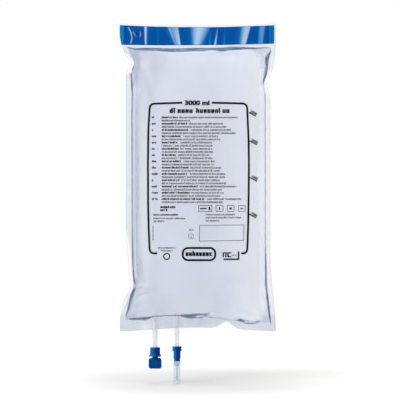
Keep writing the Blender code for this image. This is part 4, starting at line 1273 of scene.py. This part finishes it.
def make_print():
    rng = random.Random(11)
    heavy = Ink()
    for side in FRAME:
        heavy.path(divided(rounded(list(zip(side[::2], side[1::2])), 5.0)), FRAME_WIDTH)
    heavy.glyphs("3000 ml", (184.7, 104.9), 4.3, heavy=0.055, stretch=1.24)
    heavy.title("LDTB A LRT LRTB LRTM LRB", 169.6, 193.2, 113.0, 3.7, 0.42)
    heavy.title("ART LRB LRTM LRTB LTMB LRT A LRB LRTB", 196.0, 230.0, 113.0, 3.7, 0.40)
    heavy.outline(rounded_box(182.7, 248.0, 215.3, 260.2, 5.4), 2.0)
    heavy.title("LRB LTMB ART LRTB LTMB LRB LRT LTB", 185.6, 212.6, 256.1, 3.8, 0.42)
    heavy.box(223.4, 258.5, 239.3, 260.0)
    heavy.box(237.8, 251.4, 239.3, 258.5)
    heavy.title("LRT LTB", 222.6, 232.0, 257.3, 5.0, 0.28)
    for i, (code, bold, _, _) in enumerate(ENTRIES):
        base = TEXT_TOP + 2 * i * TEXT_PITCH
        heavy.words(CODE_X, code, base, 1.55, True, rng)
        heavy.words(TEXT_X, bold, base, 1.6, True, rng)
    heavy.words(160.3, 176.4, 208.2, 1.9, True, rng)
    heavy.words(160.3, 167.6, 211.2, 1.9, True, rng)
    heavy.lay("print_bold", ink_look("print_black", (0.004, 0.004, 0.007)))

    light = Ink()
    for i, (_, bold, rest, following) in enumerate(ENTRIES):
        base = TEXT_TOP + 2 * i * TEXT_PITCH
        light.words(bold + 1.4, rest, base, 1.5, False, rng)
        light.words(TEXT_X, following, base + TEXT_PITCH, 1.5, False, rng)
    light.words(153.2, 178.2, 215.6, 1.4, True, rng)
    for x0, x1, base, size in (
        (153.2, 186.2, 219.2, 1.4),
        (153.2, 164.8, 222.2, 1.4),
        (205.7, 235.2, 215.4, 1.4),
        (205.7, 241.7, 218.4, 1.4),
        (205.7, 219.9, 221.6, 1.4),
        (157.9, 176.7, 248.6, 1.2),
        (161.0, 173.6, 251.4, 1.2),
        (189.0, 193.8, 230.6, 1.2),
    ):
        light.words(x0, x1, base, size, False, rng)
    for x0, x1 in ((198.5, 211.9), (216.0, 223.0), (227.2, 234.0), (238.3, 245.1)):
        light.outline(box_path(x0, 205.5, x1, 211.4), 0.5)
    for bar in (
        (199.8, 207.9, 206.6, 209.1),
        (208.7, 206.8, 210.2, 210.4),
        (218.9, 207.2, 220.1, 209.9),
        (229.4, 207.4, 231.8, 209.4),
        (240.4, 208.0, 243.0, 209.0),
    ):
        light.box(*bar)
    x, y, radius = RING
    turns = (2.0 * math.pi * i / RING_STEPS for i in range(RING_STEPS))
    light.path([(x + radius * math.cos(a), y + radius * math.sin(a)) for a in turns], 1.2, closed=True)
    light.path(divided(box_path(188.7, 234.0, 193.3, 238.6)), 0.35, closed=True)
    light.box(190.4, 236.6, 191.6, 237.6)
    for i in range(11):
        y = 226.0 + 1.32 * i
        light.box(152.4, y, 153.5, y + rng.uniform(0.5, 0.95))
    light.words(232.2, 236.8, 256.0, 1.4, False, rng)
    light.lay("print_light", ink_look("print_grey", (0.018, 0.020, 0.030)))

    pale = Ink()
    pale.outline([(199.5, 225.4), (244.0, 224.9), (243.7, 240.4), (199.5, 241.1)], 0.45)
    for text, x, y in SCALE_MARKS:
        pale.path([(x, y), (x + 3.6, y + 1.95), (x + 7.2, y + 3.9)], 1.15)
        pale.glyphs(text, (x + 1.3, y - 0.35), 2.4, turn=SCALE_SLANT, heavy=0.05)
    pale.lay("print_scale", ink_look("print_pale", (0.022, 0.023, 0.028)))


# Turned pieces

TURN_STEPS = 64  # sides of a turned piece
SHARP = math.radians(38.0)
SOFT = 0.0003  # rounding of the connector's edges
RIB_COUNT = 22
RIB_DEPTH = 0.00035
RIB_TOP = -0.0012
RIB_LOW = 0.0016 - SLEEVE_HEIGHT
TUBE_ROWS = 24
TUBE_HAZE = 0.29
TUBE_HAZE_IN_HEM = 0.15
IN_HEM_RUN = 0.0010  # length over which a tube turns clearer at the hem's edge
HAZE_NOSE = 0.55
HAZE_STEM = 0.27
HAZE_TIP = 0.36
HAZE_CAP = 0.175


def turned(name, profile, x, z, steps=TURN_STEPS, flute=None):
    """Turned solid from a closed profile of radius and height, down its outer side.

    flute is a tuple of count, depth, lowest and highest height for shallow upright ribs.
    """
    verts, rings, faces = [], [], []
    for radius, height in profile:
        start = len(verts)
        if radius <= 0.0:
            rings.append([start] * steps)
            verts.append((x, 0.0, z + height))
            continue
        rings.append(range(start, start + steps))
        for i in range(steps):
            angle = 2.0 * math.pi * i / steps
            here = radius
            if flute and flute[2] <= height <= flute[3]:
                here -= flute[1] * (0.5 + 0.5 * math.cos(flute[0] * angle))
            verts.append((x + here * math.cos(angle), here * math.sin(angle), z + height))
    for upper, lower in zip(rings, rings[1:] + rings[:1]):
        for i in range(steps):
            j = (i + 1) % steps
            face = tuple(dict.fromkeys((upper[j], upper[i], lower[i], lower[j])))
            if len(face) > 2:
                faces.append(face)
    return closed_mesh(name, verts, faces)


def closed_mesh(name, verts, faces):
    """Closed body with its faces turned outwards."""
    mesh = mesh_of(name, verts, faces)
    bm = bmesh.new()
    bm.from_mesh(mesh)
    bmesh.ops.recalc_face_normals(bm, faces=bm.faces[:])
    bm.to_mesh(mesh)
    bm.free()
    mesh.set_sharp_from_angle(angle=SHARP)
    return mesh


def joined(name, meshes):
    bm = bmesh.new()
    for mesh in meshes:
        bm.from_mesh(mesh)
        bpy.data.meshes.remove(mesh)
    mesh = bpy.data.meshes.new(name)
    bm.to_mesh(mesh)
    bm.free()
    mesh.set_sharp_from_angle(angle=SHARP)
    return mesh


def places_of(mesh):
    return np.array([vert.co for vert in mesh.vertices]).T


def closure_mesh(top):
    """Ribbed sleeve, flange, thin neck and dished paddle."""
    sleeve = SLEEVE_DIAMETER / 2
    flange = FLANGE_DIAMETER / 2
    neck = NECK_DIAMETER / 2
    socket = PORT_TUBE_DIAMETER / 2 + CLEARANCE
    floor_z = -TUBE_SEAT - CLEARANCE
    flange_z = -SLEEVE_HEIGHT - FLANGE_HEIGHT
    paddle_z = flange_z - NECK_HEIGHT
    profile = [
        (socket, 0.0), (sleeve - 0.0004, 0.0), (sleeve - 0.0001, -0.0001), (sleeve, -0.0004),
        (sleeve, -0.0009), (sleeve, RIB_TOP), (sleeve, RIB_LOW), (sleeve, RIB_LOW - 0.0003),
        (sleeve + 0.0002, RIB_LOW - 0.0006), (flange - 0.0003, flange_z + 0.0010),
        (flange, flange_z + 0.0007), (flange, flange_z + 0.0002), (flange - 0.0002, flange_z),
        (neck + 0.0012, flange_z - 0.0001), (neck + 0.0003, flange_z - 0.0006),
        (neck, flange_z - 0.0012), (neck + 0.0002, paddle_z + 0.0006), (neck + 0.0014, paddle_z),
        (neck + 0.0010, paddle_z - 0.0008), (0.0, paddle_z - 0.0008), (0.0, floor_z),
        (socket, floor_z),
    ]
    ribs = (RIB_COUNT, RIB_DEPTH, RIB_LOW, RIB_TOP)
    sleeve_mesh = turned("closure_sleeve", profile, PORT_X, top, steps=6 * RIB_COUNT, flute=ribs)
    mesh = joined("twist_off_closure_fine", [sleeve_mesh, paddle_mesh(top + paddle_z - PADDLE_HEIGHT / 2)])
    x, y, z = places_of(mesh)
    # Painted light on the left side and shade on the right, darker in the rib grooves; paddle darker to the
    # right
    aside = (x - PORT_X) / sleeve
    tone = 0.06 + 0.70 * (1.0 - smooth((aside + 0.60) / 0.80))
    groove = 0.5 + 0.5 * np.cos(RIB_COUNT * np.arctan2(y, x - PORT_X))
    tone = tone - 0.16 * groove * (z > top + RIB_LOW)
    paint(mesh, tone=np.where(z < top + paddle_z - 0.0002, 0.19 - 0.06 * aside, tone))
    return mesh


def paddle_mesh(middle):
    """Flat grip with soft corners, a raised rim and a hollow on both faces."""
    wide, high, flat = PADDLE_WIDTH / 2, PADDLE_HEIGHT / 2, PADDLE_THICKNESS / 2
    outline = rounded_box(-wide, -high, wide, high, PADDLE_CORNER)
    steps = [
        (0.0, flat - 0.0005), (0.00015, flat - 0.00015), (0.0005, flat),
        (PADDLE_RIM - 0.0002, flat), (PADDLE_RIM, flat - 0.0001),
        (PADDLE_RIM + 0.0004, flat - PADDLE_DISH + 0.0001), (PADDLE_RIM + 0.0007, flat - PADDLE_DISH),
    ]
    rings = [(inset, -depth) for inset, depth in reversed(steps)] + steps
    verts = []
    for inset, depth in rings:
        for x, z in outline:
            sag = 0.0004 * (1.0 - (x / wide) ** 2) if z > 0.0 else 0.0
            across_x, down_z = 1.0 - inset / wide, 1.0 - inset / high
            verts.append((PORT_X + x * across_x, depth, middle - (z + sag) * down_z))
    count = len(outline)
    faces = [
        (k + i, k + (i + 1) % count, k + count + (i + 1) % count, k + count + i)
        for k in range(0, len(verts) - count, count)
        for i in range(count)
    ]
    faces += [tuple(range(count)), tuple(range(len(verts) - count, len(verts)))]
    return closed_mesh("closure_paddle", verts, faces)


def connector_mesh(top):
    head, groove, rib = HEAD_DIAMETER / 2, GROOVE_DIAMETER / 2, RIB_DIAMETER / 2
    barrel, waist, lip = BARREL_DIAMETER / 2, WAIST_DIAMETER / 2, LIP_DIAMETER / 2
    socket = CONNECTOR_TUBE_DIAMETER / 2 + CLEARANCE
    bore = SHANK_DIAMETER / 2 + CLEARANCE
    end = -CONNECTOR_HEIGHT
    waist_z = end + WAIST_HEIGHT
    shoulder_z = waist_z + WAIST_SLOPE
    groove_z = -HEAD_HEIGHT
    rib_z = groove_z - GROOVE_HEIGHT
    rib_low = rib_z - RIB_HEIGHT
    barrel_z = rib_low - RIB_SLOPE
    web = -TUBE_SEAT - CLEARANCE
    bore_end = min(end + SHANK_LENGTH + CLEARANCE, web - CONNECTOR_WEB)
    profile = [
        (socket, 0.0), (head - SOFT, 0.0), (head, -SOFT), (head, groove_z + SOFT),
        (head - SOFT, groove_z), (groove + SOFT, groove_z - 0.0001), (groove, groove_z - SOFT),
        (groove, rib_z + SOFT), (rib - SOFT, rib_z), (rib, rib_z - SOFT), (rib, rib_low + SOFT),
        (rib - SOFT, rib_low), (barrel + SOFT, barrel_z), (barrel, barrel_z - SOFT),
        (barrel, shoulder_z + SOFT), (barrel - SOFT, shoulder_z), (waist, waist_z),
        (waist + 0.0001, waist_z - 0.0006), (lip, end + LIP_HEIGHT), (lip, end + SOFT),
        (lip - SOFT, end), (bore, end), (bore, bore_end), (0.0, bore_end), (0.0, web), (socket, web),
    ]
    mesh = turned("connector_body_fine", profile, CONNECTOR_X, top)
    # Painted light on the left side, shade on the right
    aside = (places_of(mesh)[0] - CONNECTOR_X) / barrel
    paint(mesh, tone=0.04 + 0.96 * (1.0 - smooth(aside + 0.85)))
    return mesh


def spike_mesh(top):
    shank, stem, tip = SHANK_DIAMETER / 2, STEM_DIAMETER / 2, TIP_DIAMETER / 2
    nose = CAP_MOUTH_DIAMETER / 2 - CAP_WALL - CLEARANCE
    nose_end = nose - (CAP_MOUTH_DIAMETER - CAP_END_DIAMETER) / 2 * NOSE_LENGTH / CAP_LENGTH
    bore, point = STEM_BORE / 2, TIP_END_DIAMETER / 2
    low = -NOSE_LENGTH - STEM_LENGTH
    end = low - TIP_LENGTH
    profile = [
        (bore, SHANK_LENGTH), (shank - 0.0002, SHANK_LENGTH), (shank, SHANK_LENGTH - 0.0002),
        (shank, -CLEARANCE), (nose - 0.0002, -CLEARANCE), (nose, -CLEARANCE - 0.0002),
        (mix(nose, nose_end, 0.62), -0.0043), (mix(nose, nose_end, 0.62) - 0.0004, -0.0045),
        (mix(nose, nose_end, 0.72) - 0.0004, -0.0052), (mix(nose, nose_end, 0.75), -0.0054),
        (nose_end, -NOSE_LENGTH + 0.0004), (nose_end - 0.0004, -NOSE_LENGTH),
        (stem + 0.0006, -NOSE_LENGTH - 0.0001), (stem, -NOSE_LENGTH - 0.0008), (stem, low),
        (tip - 0.0001, low - EDGE_ROUND), (tip, low - 0.0009), (tip, low - TIP_LENGTH / 2),
        (point + 0.0002, end + 0.0003), (point, end), (bore, end),
    ]
    mesh = turned("connector_spike_fine", profile, CONNECTOR_X, top)
    z = places_of(mesh)[2]
    haze = np.where(z > top - NOSE_LENGTH - 0.0004, HAZE_NOSE, HAZE_STEM)
    paint(mesh, haze=np.where(z < top + low - EDGE_ROUND / 2, HAZE_TIP, haze))
    return mesh


def cap_mesh(top):
    mouth, end = CAP_MOUTH_DIAMETER / 2, CAP_END_DIAMETER / 2
    high, low = -CLEARANCE, -CAP_LENGTH
    floor_z = low + CAP_END_WALL
    profile = [
        (mouth - 0.0003, high), (mouth, high - 0.0002), (mouth - 0.0001, high - 0.0020),
        (end, low + 0.0007), (end - 0.0002, low + 0.0002), (end - 0.0007, low), (0.0, low),
        (0.0, floor_z), (end - CAP_WALL - 0.0006, floor_z), (end - CAP_WALL, floor_z + 0.0006),
        (mouth - CAP_WALL, high),
    ]
    mesh = turned("protective_cap_fine", profile, CONNECTOR_X, top)
    paint(mesh, haze=[HAZE_CAP])
    return mesh


def tube_mesh(port):
    """Tube of one port, clearer where it runs inside the hem."""
    outer = port.diameter / 2
    inner = outer - port.wall
    edge = bottom_edge_height(port.x)
    top = weld_height(port.x) + TUBE_REACH
    bottom = edge - port.shown - TUBE_SEAT
    heights = [mix(top, bottom, i / TUBE_ROWS) for i in range(TUBE_ROWS + 1)]
    profile = [(outer, z) for z in heights] + [(inner, z) for z in reversed(heights)]
    mesh = turned(port.name + "_fine", profile, port.x, 0.0)
    in_hem = smooth((places_of(mesh)[2] - edge + IN_HEM_RUN / 2) / IN_HEM_RUN)
    paint(mesh, haze=mix(TUBE_HAZE, TUBE_HAZE_IN_HEM, in_hem))
    return mesh


def ports():
    blue, tube = blue_plastic_look(), tube_look()
    clear = clear_plastic_look("clear_plastic", (0.78, 0.87, 0.98))
    stem = clear_plastic_look("clear_stem", (0.36, 0.58, 0.74))
    closure_top = bottom_edge_height(PORT_X) - PORT_TUBE_SHOWN
    connector_top = bottom_edge_height(CONNECTOR_X) - CONNECTOR_TUBE_SHOWN
    spike_top = connector_top - CONNECTOR_HEIGHT
    for node, mesh, look, slot in (
        (PORTS[0].name, tube_mesh(PORTS[0]), tube, "port_tube"),
        (PORTS[1].name, tube_mesh(PORTS[1]), tube, "port_tube"),
        ("twist_off_closure", closure_mesh(closure_top), blue, "blue_plastic"),
        ("connector_body", connector_mesh(connector_top), blue, "blue_plastic"),
        ("connector_spike", spike_mesh(spike_top), stem, "clear_plastic"),
        ("protective_cap", cap_mesh(spike_top), clear, "clear_plastic"),
    ):
        body = "cap" if node == "protective_cap" else "bag"
        new_piece(node + "_fine", mesh, look, body=body, replaces=node)


# Floor, lights and camera

FLOOR_Z = -0.4913
FLOOR_MIDDLE_Y = 0.03
FLOOR_SIZE = 30.0
FLOOR_COLOR = (0.815, 0.805, 0.79)
FLOOR_GLOW = 0.13  # under the object, as the camera sees it
GLOW_NEAR = 0.13  # from the middle, where the floor starts to glow
GLOW_FAR = 0.80
FADE_NEAR = 0.40  # and where it starts to lose its own colour, so that it ends plain white
FADE_FAR = 0.90
WHITE = (1.0, 1.0, 1.0, 1.0)
AMBIENT = 0.32
MIDDLE = (0.0, 0.0, -0.2)
LAMPS = (  # name, place, target, width and height, watts
    ("key", (-1.7, -1.7, 0.9), MIDDLE, (1.0, 1.2), 30.0),
    ("overhead", (0.0, -0.05, 1.6), (0.0, 0.05, -0.49), (0.9, 1.7), 24.0),
    ("fill", (1.7, -1.0, 0.1), MIDDLE, (0.8, 1.4), 3.0),
)


def white_background():
    """Plain white for the camera and for reflections, a softer ambient light for the rest."""
    world = bpy.data.worlds.new("studio")
    bpy.context.scene.world = world
    world.use_nodes = True
    nodes = Nodes(world.node_tree)
    nodes.tree.nodes.clear()
    ambient = nodes.node("Background", Color=(0.97, 0.98, 1.0, 1.0), Strength=AMBIENT)
    white = nodes.node("Background", Color=WHITE, Strength=1.0)
    mixer = nodes.node("MixShader")
    for socket, value in zip(mixer.inputs, (nodes.direct_rays(), ambient.outputs[0], white.outputs[0])):
        nodes.put(socket, value)
    nodes.node("OutputWorld", Surface=mixer.outputs[0])


def floor():
    """Ground that keeps the shadow and ends plain white."""
    corners = [(x, y, 0.0) for x, y in box_path(-FLOOR_SIZE, -FLOOR_SIZE, FLOOR_SIZE, FLOOR_SIZE)]
    mesh = mesh_of("floor", corners, [range(4)])
    thing = new_object("floor", mesh)
    thing.location = (0.0, FLOOR_MIDDLE_Y, FLOOR_Z)
    look = Look("floor", FLOOR_COLOR, 0.9, 0.0)
    reach = look.node("VectorMath")
    reach.operation = "LENGTH"
    look.put(reach.inputs[0], look.places)
    reach = reach.outputs["Value"]
    rays = look.direct_rays()
    glow = look.math("MULTIPLY", rays, look.between(reach, FLOOR_GLOW, 1.0, GLOW_NEAR, GLOW_FAR))
    fade = look.math("MULTIPLY", rays, look.between(reach, 0.0, 1.0, FADE_NEAR, FADE_FAR))
    color = look.blend(fade, FLOOR_COLOR, (0.0, 0.0, 0.0))
    look.feed(Base_Color=color, Emission_Color=WHITE, Emission_Strength=glow)
    mesh.materials.append(look.material)


def studio():
    scene = bpy.context.scene
    scene.view_settings.view_transform = "Standard"
    scene.cycles.transparent_max_bounces = 32
    white_background()
    floor()
    for name, place, target, size, power in LAMPS:
        light = bpy.data.lights.new(name, "AREA")
        light.shape = "RECTANGLE"
        light.size, light.size_y = size
        light.energy = power
        thing = new_object(name, light)
        thing.location = place
        thing.rotation_euler = (Vector(target) - Vector(place)).to_track_quat("-Z", "Y").to_euler()
    camera = bpy.data.cameras.new("camera")
    camera.sensor_width = SENSOR
    camera.lens = SENSOR * -CAMERA_Y / (PIXEL * PHOTO_SIDE)
    scene.camera = new_object("camera", camera)
    scene.camera.location = (CAMERA_X, CAMERA_Y, CAMERA_Z)
    scene.camera.rotation_euler = (math.radians(90.0), 0.0, 0.0)


def main():
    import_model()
    film = film_look()
    make_film("front_film", -1, film)
    make_film("rear_film", 1, film)
    make_solution()
    make_strap()
    make_print()
    ports()
    studio()


main()
